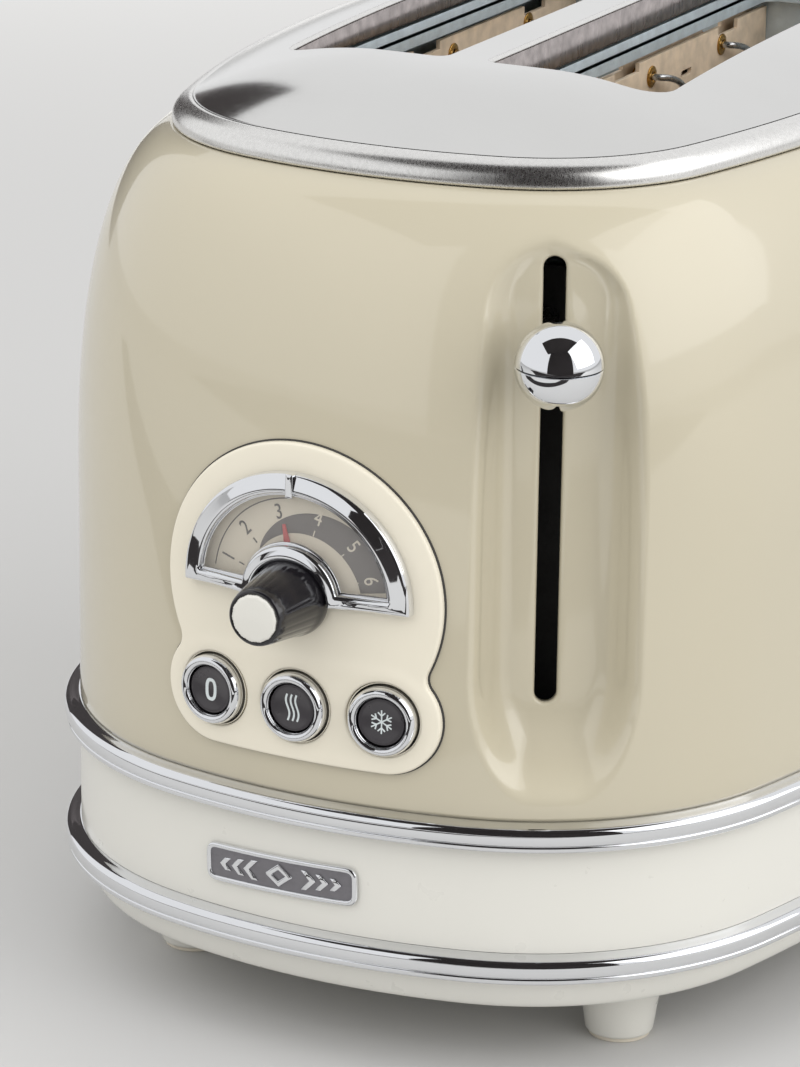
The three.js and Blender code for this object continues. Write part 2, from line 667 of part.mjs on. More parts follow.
function heaterBoard(x) {
  const board = box(x - 0.5, x + 0.5, -84.5, 84.5, BOARD_BOTTOM, BOARD_TOP);
  const eyelets = [-1, 1].map((side) => {
    const hole = new THREE.CylinderGeometry(1.6, 1.6, 6, 12);
    hole.rotateZ(Math.PI / 2);
    hole.translate(x, side * 60, BOARD_TOP - 9);
    return toSolid(hole);
  });
  return cut(board, eyelets);
}

function breadGuide(x) {
  const rails = [62, 182].map((z) => box(x - 0.8, x + 0.8, -76, 76, z, z + 1.6));
  const wires = [-3, -2, -1, 0, 1, 2, 3]
    .map((i) => box(x - 0.8, x + 0.8, i * 24 - 0.8, i * 24 + 0.8, 61, 188));
  return join([...rails, ...wires]);
}

function reflector(side) {
  const x = side * REFLECTOR_X;
  const sheet = box(x - 0.5, x + 0.5, -84.5, 84.5, 47, 191.5);
  const folded = x - side * 5;
  const foldTop = box(Math.min(x, folded), Math.max(x, folded), -84.5, 84.5, 190.5, 191.5);
  return sheet.add(foldTop);
}

function crumbTray() {
  const within = filled([[WALL - MOULDING, 29], [WALL - MOULDING, 51]]);
  const frontFace = trayOpening(0).intersect(filled([[WALL, 30], [WALL, 50]]).subtract(within));
  const outside = box(-TRAY_HALF_WIDTH, TRAY_HALF_WIDTH, -78, 146, TRAY_Z, TRAY_Z + 7);
  const inside = box(-TRAY_HALF_WIDTH + 1, TRAY_HALF_WIDTH - 1, -77, 144.5, TRAY_Z + 1, TRAY_Z + 20);
  const neck = box(-30, 30, 144.6, 150, TRAY_Z, TRAY_Z + 4);
  const pull = box(-16, 16, 149, 154.2, TRAY_Z + TRAY_HEIGHT - 3, TRAY_Z + TRAY_HEIGHT - 1);
  return join([outside.subtract(inside), neck, frontFace, pull]);
}

// ---------------------------------------------------------------- assembly
const toaster = new THREE.Group();
toaster.position.y = KNOB_REACH / 2;

const casing = new THREE.Group();
casing.add(
  part('outer_shell', outerShell(), CREAM),
  part('top_cover', topCover(), STAINLESS),
  part('upper_trim_band', trimBand(UPPER_BAND_Z), CHROME),
  part('lower_trim_band', trimBand(LOWER_BAND_Z), CHROME),
  part('base_band', baseBand(), IVORY),
  part('base_pan', basePan(), IVORY),
  part('badge_plate', badgePlate(), STAINLESS),
  part('cord_gland', cordGland(), RUBBER),
);

const cornerNames = ['front_left', 'front_right', 'rear_left', 'rear_right'];
cornerNames.forEach((corner, i) => {
  const [x, y] = cornersOf(FOOT_X, FOOT_Y)[i];
  const leg = new THREE.Group();
  leg.position.set(x, y, 0);
  leg.add(part(`foot_${corner}`, foot(), IVORY));
  leg.add(part(`foot_pad_${corner}`, post(0, 0, 0, 0.9, 6.8, 6.8, 12), RUBBER));
  const screw = part(`base_screw_${corner}`, baseScrew(), STEEL);
  screw.position.set(...cornersOf(SCREW_X, SCREW_Y)[i], 0);
  casing.add(leg, screw);
});

const windowShape = arcBand(WINDOW_INNER + GAP, WINDOW_OUTER - GAP, WINDOW_BOTTOM + GAP);
const capProfile = [[0, -0.9], [5.1, -0.9], [5.1, -0.2], [4.6, 0], [0, 0]];
const potentiometerProfile = [[0, 129.2], [9, 129.2], [9, 139.3], [0, 139.3]];
const controls = new THREE.Group();
controls.add(
  part('control_panel', controlPanel(), IVORY),
  part('dial_frame', dialFrame(), CHROME),
  part('dial_window', onPanel(windowShape, 3.3, 3.8, 8), CLEAR),
  part('dial_scale', onPanel(arcBand(5.8, 23.8, 0.2), 0.4, 0.9, 8), SCALE_PRINT),
  part('dial_pointer', dialPointer(), RED),
  part('dial_knob', dialKnob(), BLACK),
  part('dial_knob_cap', turned(capProfile, knobFrame, 16), IVORY),
  part('dial_shaft', turned([[0, SHAFT_BACK], [3, SHAFT_BACK], [3, 162], [0, 162]], panelFrame, 16), STEEL),
  part('shade_potentiometer', turned(potentiometerProfile, panelFrame, 20), STEEL),
  part('control_board', controlBoard(), BOARD_GREEN),
);
['cancel', 'reheat', 'defrost'].forEach((name, i) => {
  controls.add(part(`${name}_button_ring`, buttonRing(i - 1), CHROME));
  controls.add(part(`${name}_button_face`, buttonFace(i - 1), BLACK));
});

const lift = new THREE.Group();
lift.add(
  part('lever_ball_upper', ballHalf(1), CHROME),
  part('lever_ball_lower', ballHalf(-1), CHROME),
  part('lever_stem', leverStemForm(0), STEEL),
  part('lift_carriage', liftCarriage(), GALVANISED),
  part('bread_rack_left', breadRack(-1), STEEL),
  part('bread_rack_right', breadRack(1), STEEL),
  part('guide_rod', post(ROD.x, ROD.y, BASE_FLOOR + GAP, 192.2, ROD.radius, ROD.radius, 16), STEEL),
  part('lift_spring', liftSpring(), STEEL),
  part('hold_down_magnet', electromagnet(), COPPER),
);

const chamber = new THREE.Group();
chamber.add(
  part('chassis_front_plate', chassisPlate(-1), GALVANISED),
  part('chassis_rear_plate', chassisPlate(1), GALVANISED),
  part('chassis_top_plate', chassisTopPlate(), GALVANISED),
  part('crumb_tray', crumbTray(), IVORY),
);
[['left', -1], ['right', 1]].forEach(([side, sign]) => {
  chamber.add(
    part(`heater_board_outer_${side}`, heaterBoard(sign * BOARD_OUTER_X), MICA),
    part(`heater_board_inner_${side}`, heaterBoard(sign * BOARD_INNER_X), MICA),
    part(`bread_guide_outer_${side}`, breadGuide(sign * GUIDE_OUTER_X), STEEL),
    part(`bread_guide_inner_${side}`, breadGuide(sign * GUIDE_INNER_X), STEEL),
    part(`reflector_${side}`, reflector(sign), GALVANISED),
  );
});

toaster.add(casing, controls, lift, chamber);

export default toaster;
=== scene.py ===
from math import asin, atan2, cos, degrees, hypot, pi, radians, sin, sqrt

import bmesh
import bpy
import numpy as np
from mathutils import Matrix, Vector, kdtree
from mathutils.geometry import delaunay_2d_cdt


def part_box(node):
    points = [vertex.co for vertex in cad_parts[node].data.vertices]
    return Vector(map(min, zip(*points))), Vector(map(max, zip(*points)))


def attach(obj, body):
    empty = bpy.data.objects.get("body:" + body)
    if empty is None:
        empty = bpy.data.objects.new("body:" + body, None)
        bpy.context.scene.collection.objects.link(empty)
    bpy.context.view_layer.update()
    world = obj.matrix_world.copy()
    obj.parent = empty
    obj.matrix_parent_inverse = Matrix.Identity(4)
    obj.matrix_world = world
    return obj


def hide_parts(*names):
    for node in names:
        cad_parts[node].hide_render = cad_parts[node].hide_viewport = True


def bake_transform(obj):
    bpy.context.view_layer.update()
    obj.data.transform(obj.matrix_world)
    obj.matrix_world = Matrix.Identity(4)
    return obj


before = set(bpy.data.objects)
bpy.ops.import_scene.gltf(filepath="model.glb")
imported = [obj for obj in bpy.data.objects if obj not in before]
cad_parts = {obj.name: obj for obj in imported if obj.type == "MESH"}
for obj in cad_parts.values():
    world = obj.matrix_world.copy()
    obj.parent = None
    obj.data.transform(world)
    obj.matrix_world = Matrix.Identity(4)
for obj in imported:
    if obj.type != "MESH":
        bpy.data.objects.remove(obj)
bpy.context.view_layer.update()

MM = 0.001

# ---------------------------------------------------------------- dimensions
band_low, band_high = (np.array(corner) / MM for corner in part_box("upper_trim_band"))
LENGTH = band_high[1] - band_low[1]
WIDTH = band_high[0] - band_low[0]
SHIFT = (band_high[1] + band_low[1]) / 2       # from the body frame to the row frame, along Y
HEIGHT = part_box("top_cover")[1].z / MM
END_RADIUS = 148
SIDE_RADIUS = 370
CORNER_RADIUS = 70
WALL = -3.6                     # body wall, measured inwards from the trim bands
SHOULDER_START = 113.5
SHOULDER_DEPTH = 26.6
SHOULDER_HEIGHT = 77.2
SHOULDER_POWER = 2.3
SHELL_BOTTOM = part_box("outer_shell")[0].z / MM
SHELL_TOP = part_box("outer_shell")[1].z / MM
UPPER_BAND_Z = band_low[2]
LOWER_BAND_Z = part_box("lower_trim_band")[0].z / MM
BAND_HEIGHT = band_high[2] - band_low[2]
SKIRT_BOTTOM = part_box("base_pan")[0].z / MM
RIM_OFFSET = -24.5
DOME_OFFSET = -29
DOME_START = 195.6
DOME_RUN = 41
SLOT_INNER = 5.3
SLOT_OUTER = 44.9
SLOT_HALF_LENGTH = 80.2
SLOT_MIDDLE = (SLOT_INNER + SLOT_OUTER) / 2
LIP_BOTTOM = 197.2
PANEL_X = -2.3
DIAL_Z = 105.6
BUTTON_Z = 80.9
BUTTON_PITCH = 19.9
BUTTON_HOLE = 8.2
HEAD_RADIUS = 32.2
DIAL_OUTER = 26.4
WINDOW_OUTER = 22.2
WINDOW_INNER = 11.3
WINDOW_BOTTOM = 2.2
POINTER_ANGLE = 101.6
KNOB_FRONT = (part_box("dial_knob_cap")[0].y / MM) - SHIFT
BADGE_X = PANEL_X - 4.1
BADGE_Z = 41.8
LEVER_ANGLE = 29
RECESS_FLOOR = 54.4
RECESS_SHIFT = 1.3
BALL_REACH = 70
BALL_RADIUS = 9.1
BALL_Z = 159.8
LEVER_SLOT_HALF = 2.3
LEVER_SLOT_BOTTOM = 82.5
LEVER_SLOT_TOP = 178.2
FOOT_X = 52.7
FOOT_Y = 105.1
SCREW_X = 72
SCREW_Y = 62
TRAY_HALF_WIDTH = 46
TRAY_Z = 32.6
TRAY_HEIGHT = 9.4
GLAND_ANGLE = 35
GLAND_Z = 43
OUTER_BOARD_X, INNER_BOARD_X = 49.1, 2.1
OUTER_GUIDE_X, INNER_GUIDE_X = 44.4, 6.2

END_CENTRE = np.array([0, END_RADIUS - LENGTH / 2])
SIDE_CENTRE = np.array([WIDTH / 2 - SIDE_RADIUS, 0])


def find_corner_centre():
    """The centre of the corner arc that touches both the end arc and the side arc."""
    from_end, from_side = END_RADIUS - CORNER_RADIUS, SIDE_RADIUS - CORNER_RADIUS
    between = SIDE_CENTRE - END_CENTRE
    apart = np.linalg.norm(between)
    along = (from_end**2 - from_side**2 + apart**2) / (2 * apart)
    across = sqrt(from_end**2 - along**2)
    towards = between / apart
    return END_CENTRE + towards * along + np.array([-towards[1], towards[0]]) * across


CORNER_CENTRE = find_corner_centre()
CORNER_START = atan2(*(CORNER_CENTRE - END_CENTRE)[::-1])
CORNER_END = atan2(*(CORNER_CENTRE - SIDE_CENTRE)[::-1])


# ---------------------------------------------------------------- camera, lights and floor
CAMERA_TURN = (26.31, 17.92, 0.74)              # yaw, pitch and roll in degrees
CAMERA_PLACE = (0.41457, -0.94768, 0.40912)     # in metres, in the body frame
CAMERA_LENS = 154.5


def add_object(name, data):
    made = bpy.data.objects.new(name, data)
    bpy.context.scene.collection.objects.link(made)
    return made


def make_camera():
    yaw, pitch, roll = (radians(value) for value in CAMERA_TURN)
    back = Vector((sin(yaw) * cos(pitch), -cos(yaw) * cos(pitch), sin(pitch)))
    right = Vector((cos(yaw), sin(yaw), 0))
    up = back.cross(right)
    right, up = right * cos(roll) + up * sin(roll), up * cos(roll) - right * sin(roll)
    data = bpy.data.cameras.new("camera")
    data.sensor_width = 36
    data.lens = CAMERA_LENS
    data.clip_start = 0.05
    camera = add_object("camera", data)
    matrix = Matrix((right, up, back)).transposed().to_4x4()
    matrix.translation = Vector(CAMERA_PLACE) + Vector((0, SHIFT * MM, 0))
    camera.matrix_world = matrix
    bpy.context.scene.camera = camera


def softbox(name, centre, target, width, height, radiance, shown=True):
    """A rectangular light, shown or hidden in reflections."""
    data = bpy.data.lights.new(name, "AREA")
    data.shape = "RECTANGLE"
    data.size, data.size_y = width, height
    data.energy = radiance * pi * width * height
    light = add_object(name, data)
    light.visible_glossy = shown
    light.location = centre
    light.rotation_euler = (Vector(target) - Vector(centre)).to_track_quat("-Z", "Y").to_euler()


def card(name, distance, around, height, size, tilt, shade=0.03):
    """A dark card off camera that only reflections see; around is its bearing from -Y towards +X."""
    turn = radians(around)
    centre = (distance * sin(turn), -distance * cos(turn), height)
    bpy.ops.mesh.primitive_plane_add(size=1, location=centre)
    flag = bpy.context.object
    flag.name = name
    flag.scale = (*size, 1)
    flag.rotation_euler = (radians(tilt), 0, turn)
    flag.data.materials.append(plain(name, (shade, shade * 0.9, shade * 0.9), 1.0))
    flag.visible_camera = False
    flag.visible_diffuse = False
    flag.visible_shadow = False
    flag.visible_transmission = False


def blank(name):
    """A new material with its node tree's nodes, links and principled shader."""
    material = bpy.data.materials.new(name)
    material.use_nodes = True
    tree = material.node_tree
    return material, tree.nodes, tree.links, tree.nodes["Principled BSDF"]


def plain(name, colour, roughness):
    """A material without highlights, for the floor and the cards."""
    material, _, _, shader = blank(name)
    shader.inputs["Base Color"].default_value = (*colour, 1)
    shader.inputs["Roughness"].default_value = roughness
    shader.inputs["Specular IOR Level"].default_value = 0
    return material


def make_studio():
    world = bpy.data.worlds.new("studio")
    bpy.context.scene.world = world
    world.use_nodes = True
    sky = world.node_tree.nodes["Background"]
    sky.inputs["Color"].default_value = (0.985, 0.99, 1.0, 1)
    sky.inputs["Strength"].default_value = 0.9
    bpy.context.scene.view_settings.view_transform = "Standard"
    bpy.ops.mesh.primitive_plane_add(size=9, location=(0, 1.5, 0))
    floor = bpy.context.object
    floor.name = "floor"
    floor.data.materials.append(plain("floor", (0.55, 0.545, 0.535), 0.6))
    softbox("left_fill", (-1.3, -0.7, 0.9), (0, 0, 0.1), 1.7, 1.4, 0.32, False)
    softbox("right_fill", (1.3, -0.6, 0.8), (0, 0, 0.1), 1.5, 1.2, 1.02, False)
    softbox("right_softbox", (1.35, 0.1, 0.95), (0, 0, 0.1), 1.8, 1.5, 1.25)
    softbox("front_fill", (-0.25, -0.80, 0.8), (-0.2, -0.5, 0), 1.0, 1.0, 1.05, False)
    softbox("rear_fill", (-0.95, 1.45, 0.65), (-0.95, 1.45, 0), 0.9, 0.9, 2.6, False)
    card("front_wall", 1.45, 26.3, 0.85, (1.7, 1.7), 90, 0.03)
    card("front_ceiling", 0.80, 26.3, 1.70, (2.4, 1.4), 0, 0.04)
    card("front_edge", 1.05, 20.0, 0.001, (3.6, 0.82), 0)
    card("near_edge", 0.37, -10.0, 0.0015, (2.4, 0.10), 0)
    card("rear_left_flag", 1.6, -125, 0.70, (0.72, 1.38), 90, 0.06)


# ---------------------------------------------------------------- finishes
# the colour sockets of a mix node, whose names are not unique
MIX_A, MIX_B, MIX_RESULT = 6, 7, 2
ROUND = (1, 1, 1)                       # how far a grain is stretched along X, Y and Z
ALONG_X = (90, 1, 1)
ALONG_Z = (1, 1, 60)
SMOOTH = (6 / 1.7, ROUND, 0)


def linear(red, green, blue):
    """A colour given as 0-255 screen values, as the shader's linear values."""
    shares = (value / 255 for value in (red, green, blue))
    return tuple(share / 12.92 if share < 0.04 else ((share + 0.055) / 1.055) ** 2.4 for share in shares)


def finish(name, colour, roughness, metallic, grain, mottle, mottle_size, wear, coat=0.0, coat_roughness=0.1):
    """A mottled colour and uneven roughness, with a grain of (size in mm, stretch, height in mm)."""
    material, nodes, links, shader = blank(name)
    shader.inputs["Metallic"].default_value = metallic
    shader.inputs["Coat Weight"].default_value = coat
    shader.inputs["Coat Roughness"].default_value = coat_roughness
    place = nodes.new("ShaderNodeTexCoord")

    def noise(size, detail=3.0, stretch=ROUND):
        spread = nodes.new("ShaderNodeMapping")
        spread.inputs["Scale"].default_value = tuple(1 / (size * MM * s) for s in stretch)
        texture = nodes.new("ShaderNodeTexNoise")
        texture.inputs["Scale"].default_value = 1
        texture.inputs["Detail"].default_value = detail
        links.new(place.outputs["Object"], spread.inputs["Vector"])
        links.new(spread.outputs["Vector"], texture.inputs["Vector"])
        return texture.outputs["Fac"]

    def ramp(source, low, high):
        spread = nodes.new("ShaderNodeMapRange")
        spread.inputs["From Min"].default_value = 0.3
        spread.inputs["From Max"].default_value = 0.7
        spread.inputs["To Min"].default_value = low
        spread.inputs["To Max"].default_value = high
        links.new(source, spread.inputs["Value"])
        return spread.outputs["Result"]

    mix = nodes.new("ShaderNodeMix")
    mix.data_type = "RGBA"
    mix.inputs[MIX_A].default_value = (*(c * (1 - mottle) for c in colour), 1)
    mix.inputs[MIX_B].default_value = (*(min(c * (1 + mottle), 1) for c in colour), 1)
    links.new(ramp(noise(mottle_size), 0, 1), mix.inputs["Factor"])
    links.new(mix.outputs[MIX_RESULT], shader.inputs["Base Color"])
    size, stretch, height = grain
    rough = ramp(noise(size * 1.7, 4.0, stretch), roughness - wear, roughness + wear)
    links.new(rough, shader.inputs["Roughness"])
    if height:
        bump = nodes.new("ShaderNodeBump")
        bump.inputs["Distance"].default_value = height * MM
        bump.inputs["Strength"].default_value = 1
        links.new(noise(size, 0.0 if stretch == ROUND else 2.0, stretch), bump.inputs["Height"])
        links.new(bump.outputs["Normal"], shader.inputs["Normal"])
    return material


FINISHES = {
    "cream": ("cream_body", "cream_paint", linear(188, 180, 158),
        0.32, 0, (4.0, ROUND, 0), 0.012, 60, 0.03, 1.0, 0.055),
    "brushed": ("brushed_stainless", "brushed_stainless", (0.74, 0.735, 0.72),
        0.13, 1, (0.16, ALONG_X, 0.0010), 0.02, 40, 0.03),
    "bead": ("brushed_stainless", "scuffed_stainless", (0.82, 0.81, 0.79),
        0.27, 1, (0.25, (1, 1, 5), 0.0002), 0.05, 0.8, 0.05),
    # the slot lips are the cover's brushed steel painted darker: painted shade from facing down into the
    # slots, over a real grain
    "lip": ("brushed_stainless", "slot_lip", (0.40, 0.36, 0.35),
        0.30, 1, (0.5, ALONG_Z, 0.010), 0.22, 3, 0.08),
    "chrome": ("chrome_trim", "chrome_plate", (0.80, 0.81, 0.83),
        0.035, 1, (3.5, ROUND, 0.0012), 0.01, 30, 0.015),
    "ivory": ("ivory_plastic", "ivory_moulding", linear(215, 213, 205),
        0.30, 0, (3.5, ROUND, 0), 0.010, 50, 0.03, 0.4),
    "panel": ("ivory_plastic", "ivory_panel", linear(227, 220, 202),
        0.32, 0, (2.5, ROUND, 0), 0.012, 20, 0.03, 0.3),
    "black": ("black_plastic", "black_plastic", (0.009, 0.008, 0.010),
        0.16, 0, (0.5, ROUND, 0.003), 0.15, 10, 0.05, 0.4),
    "button": ("black_plastic", "black_button", (0.035, 0.031, 0.035),
        0.30, 0, (2.0, ROUND, 0), 0.10, 6, 0.04, 0.5),
    "rubber": ("soft_rubber", "soft_rubber", (0.045, 0.043, 0.04),
        0.8, 0, (0.5, ROUND, 0.02), 0.15, 8, 0.08),
    "pad": ("soft_rubber", "pad_rubber", linear(206, 198, 182),
        0.7, 0, (0.5, ROUND, 0.01), 0.05, 8, 0.08),
    "scale": ("dial_print", "dial_scale", linear(222, 213, 194),
        0.5, 0, (0.4, ROUND, 0.002), 0.02, 8, 0.05),
    "ink": ("dial_print", "dark_ink", (0.05, 0.045, 0.045),
        0.55, 0, SMOOTH, 0.1, 3, 0.05),
    "shade": ("dial_print", "grey_ink", (0.10, 0.09, 0.09),
        0.55, 0, SMOOTH, 0.08, 3, 0.05),
    "print": ("dial_print", "pale_ink", linear(222, 214, 196),
        0.5, 0, SMOOTH, 0.03, 2, 0.05),
    "icon": ("dial_print", "icon_ink", linear(205, 212, 212),
        0.45, 0, SMOOTH, 0.03, 2, 0.05),
    "red": ("pointer_red", "pointer_red", linear(186, 38, 48),
        0.35, 0, SMOOTH, 0.05, 3, 0.05),
    "galvanised": ("galvanised_sheet", "galvanised_sheet", (0.62, 0.70, 0.74),
        0.40, 0.5, (1.2, ROUND, 0.004), 0.10, 4, 0.08),
    "steel": ("bright_steel", "bright_steel", (0.62, 0.62, 0.62),
        0.25, 1, (0.25, ALONG_Z, 0.003), 0.06, 6, 0.08),
    "brass": ("bright_steel", "brass_eyelet", linear(214, 168, 92),
        0.25, 1, (0.3, ROUND, 0.003), 0.06, 2, 0.06),
    "case": ("potentiometer_case", "potentiometer_case", (0.45, 0.45, 0.44),
        0.35, 0.9, (0.5, ROUND, 0.004), 0.05, 4, 0.08),
    "winding": ("magnet_winding", "magnet_winding", linear(178, 96, 52),
        0.38, 0.8, (0.25, (60, 60, 1), 0.05), 0.12, 3, 0.08),
    "board": ("circuit_board", "circuit_board", linear(46, 92, 58),
        0.42, 0, (0.8, ROUND, 0.006), 0.10, 5, 0.08, 0.3),
    "mica": ("mica_board", "mica_board", linear(226, 206, 180),
        0.55, 0, (1.4, (1, 3, 1), 0.05), 0.16, 5, 0.12, 0.1),
    "badge": ("brushed_stainless", "badge_ground", linear(128, 126, 130),
        0.42, 0.7, (0.22, ALONG_X, 0.006), 0.06, 2, 0.08),
}
LOOKS = {look: (slot, finish(*values)) for look, (slot, *values) in FINISHES.items()}


def make_glass():
    material, nodes, links, shader = blank("clear_window")
    shader.inputs["Base Color"].default_value = (0.55, 0.53, 0.50, 1)
    shader.inputs["Alpha"].default_value = 0.14
    texture = nodes.new("ShaderNodeTexNoise")
    texture.inputs["Scale"].default_value = 160
    spread = nodes.new("ShaderNodeMapRange")
    spread.inputs["To Min"].default_value = 0.0
    spread.inputs["To Max"].default_value = 0.06
    links.new(texture.outputs["Fac"], spread.inputs["Value"])
    links.new(spread.outputs["Result"], shader.inputs["Roughness"])
    return material


LOOKS["window"] = ("clear_window", make_glass())


# ---------------------------------------------------------------- meshes
class Form:
    """Points and faces of one or more surfaces that make one piece."""

    def __init__(self):
        self.points, self.faces = [], []

    def add(self, points, faces):
        start = len(self.points)
        self.points.extend(tuple(point) for point in points)
        self.faces.extend(tuple(start + i for i in face) for face in faces)
        return self

    def join(self, other):
        return self.add(other.points, other.faces)


def piece(name, form, look, body="body", nodes=(), crease=38, thickness=0.0, facing=None):
    """Makes a form a piece that rides on a body and stands for some CAD nodes.

    facing gives exact normals from points, for a surface with a formula."""
    mesh = bpy.data.meshes.new(name)
    row = [(x * MM, (y + SHIFT) * MM, z * MM) for x, y, z in form.points]
    mesh.from_pydata(row, [], form.faces)
    work = bmesh.new()
    work.from_mesh(mesh)
    bmesh.ops.remove_doubles(work, verts=work.verts, dist=1e-7)
    bmesh.ops.recalc_face_normals(work, faces=work.faces)
    work.to_mesh(mesh)
    work.free()
    mesh.polygons.foreach_set("use_smooth", [True] * len(mesh.polygons))
    if facing is None:
        mesh.set_sharp_from_angle(angle=radians(crease))
    else:
        spots = np.array([vertex.co for vertex in mesh.vertices]) / MM - (0, SHIFT, 0)
        mesh.normals_split_custom_set_from_vertices(facing(spots).tolist())
    slot, material = LOOKS[look]
    mesh.materials.append(material)
    made = add_object(name, mesh)
    if thickness:
        skin = made.modifiers.new("sheet", "SOLIDIFY")
        skin.thickness = thickness * MM
        skin.offset = -1
    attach(made, body)
    if nodes:
        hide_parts(*nodes)
    return made


def arc(x, y, radius, start, end, steps):
    """Points on an arc between two angles in degrees."""
    turn = np.radians(np.linspace(start, end, steps + 1))
    return np.column_stack([x + radius * np.cos(turn), y + radius * np.sin(turn)])


def circle(x, y, radius, steps):
    return arc(x, y, radius, 0, 360, steps)[:-1]


def tidy_loop(*parts):
    """One loop from several stretches, without doubled points."""
    loop = np.concatenate([np.atleast_2d(part) for part in parts])
    keep = np.linalg.norm(loop - np.roll(loop, 1, 0), axis=1) > 1e-4
    return loop[keep]


def soften(points, radius, closed=False, steps=4):
    """A polyline with its corners rounded; radius is one value or one for each corner."""
    points = np.array(points, float)
    count = len(points)
    radii = [radius] * count if np.isscalar(radius) else radius
    made = []
    for i in range(count):
        if not closed and i in (0, count - 1) or radii[i] <= 0:
            made.append(points[i])
            continue
        before, after = points[i - 1] - points[i], points[(i + 1) % count] - points[i]
        size_before, size_after = np.linalg.norm(before), np.linalg.norm(after)
        reach = min(radii[i], size_before * 0.48, size_after * 0.48)
        start = points[i] + before / size_before * reach
        end = points[i] + after / size_after * reach
        for t in np.linspace(0, 1, steps + 1):
            made.append(start * (1 - t) ** 2 + points[i] * 2 * t * (1 - t) + end * t * t)
    return np.array(made)


def box_loop(x0, x1, y0, y1, radius=0, steps=4):
    return soften([(x0, y0), (x1, y0), (x1, y1), (x0, y1)], radius, True, steps)


def refine(loop, step):
    """A loop with its long edges divided."""
    made = []
    for start, end in zip(loop, np.roll(loop, -1, 0)):
        count = max(int(np.linalg.norm(end - start) / step), 1)
        made += [start + (end - start) * i / count for i in range(count)]
    return np.array(made)


def at_height(flat, z):
    return np.column_stack([flat, np.full(len(flat), z)])


def unit(vectors):
    return vectors / np.maximum(np.linalg.norm(vectors, axis=1, keepdims=True), 1e-9)


def heading(path):
    """The directions of a path at its points."""
    return unit(np.gradient(path, axis=0))


def leftwards(directions):
    return np.column_stack([-directions[:, 1], directions[:, 0]])


def inset(loop, distance):
    """A counter-clockwise loop moved inwards; points that would cross over are drawn to their neighbours."""
    ahead = np.roll(loop, -1, 0) - loop
    normal = leftwards(unit(ahead))
    mean = unit(normal + np.roll(normal, 1, 0))
    spread = np.clip((mean * normal).sum(1), 0.5, 1)
    moved = loop + mean * (distance / spread)[:, None]
    reach = moved[:, None] - loop[None]
    share = np.clip((reach * ahead[None]).sum(2) / np.maximum((ahead**2).sum(1), 1e-12)[None], 0, 1)
    apart = np.linalg.norm(reach - share[..., None] * ahead[None], axis=2).min(1)
    sound = np.flatnonzero(apart > abs(distance) * 0.97)
    if 0 < len(sound) < len(loop):
        count = len(loop)
        for i in np.flatnonzero(apart <= abs(distance) * 0.97):
            gap = np.abs(sound - i)
            moved[i] = moved[sound[np.minimum(gap, count - gap).argmin()]]
    return moved


def within(loop, points):
    """Whether each point is inside a loop."""
    inside = np.zeros(len(points), bool)
    for (x0, y0), (x1, y1) in zip(loop, np.roll(loop, -1, 0)):
        if y0 == y1:
            continue
        crosses = (points[:, 1] < y0) != (points[:, 1] < y1)
        inside ^= crosses & (points[:, 0] < x0 + (points[:, 1] - y0) * (x1 - x0) / (y1 - y0))
    return inside


def scatter(loops, spacing, columns=None, rows=None, grid=None):
    """Grid points over the first loop, clear of it and of the holes."""
    low, high = loops[0].min(0), loops[0].max(0)
    columns = np.arange(low[0] + spacing / 2, high[0], spacing) if columns is None else columns
    rows = np.arange(low[1] + spacing / 2, high[1], spacing) if rows is None else rows
    grid = np.array(np.meshgrid(columns, rows)).reshape(2, -1).T if grid is None else grid
    keep = within(loops[0], grid)
    for hole in loops[1:]:
        keep &= ~within(hole, grid)
    grid = grid[keep]
    edge = np.concatenate(loops)
    tree = kdtree.KDTree(len(edge))
    for i, (x, y) in enumerate(edge):
        tree.insert((x, y, 0), i)
    tree.balance()
    return np.array([p for p in grid if tree.find((p[0], p[1], 0))[2] > spacing * 0.55]).reshape(-1, 2)


def triangulate(loops, inner):
    """Triangles over the first loop, round the holes, as indices into the loops' and the inner points."""
    points = np.concatenate([*loops, inner])
    edges, start = [], 0
    for loop in loops:
        edges += [(start + i, start + (i + 1) % len(loop)) for i in range(len(loop))]
        start += len(loop)
    _, _, faces, origin, _, _ = delaunay_2d_cdt([Vector(p) for p in points], edges, [], 0, 1e-6)
    faces = np.array([[origin[i][0] for i in face] for face in faces if all(origin[i] for i in face)])
    middle = points[faces].mean(1)
    keep = within(loops[0], middle)
    for hole in loops[1:]:
        keep &= ~within(hole, middle)
    return faces[keep]


def plate(loops, low, high, edge, place, spacing, steps, lift=None, grid=None):
    """A plate with rounded upper edges; the first loop runs round it and the rest are holes."""
    loops = [np.array(loop, float) for loop in loops]
    tops = [inset(loop, -edge if i else edge) for i, loop in enumerate(loops)]
    inner = scatter(tops, spacing, grid=grid)
    faces = triangulate(tops, inner)
    flat_top = np.concatenate([*tops, inner])
    rise = lift(flat_top) if lift is not None else np.zeros(len(flat_top))
    form = Form()
    form.add(place(flat_top, high + rise), faces)
    form.add(place(np.concatenate([*loops, inner]), np.full(len(flat_top), low)), faces[:, ::-1])
    start = 0
    for i, (loop, top) in enumerate(zip(loops, tops)):
        rows = []
        extra = rise[start:start + len(loop)]
        for step in range(steps + 1):
            turn = step / steps * pi / 2
            share = 1 - sin(turn)
            flat = loop + (top - loop) * share
            rows.append(place(flat, high + extra - edge * (1 - cos(turn))))
        rows.append(place(loop, np.full(len(loop), low)))
        form.join(lofted(rows, True))
        start += len(loop)
    return form


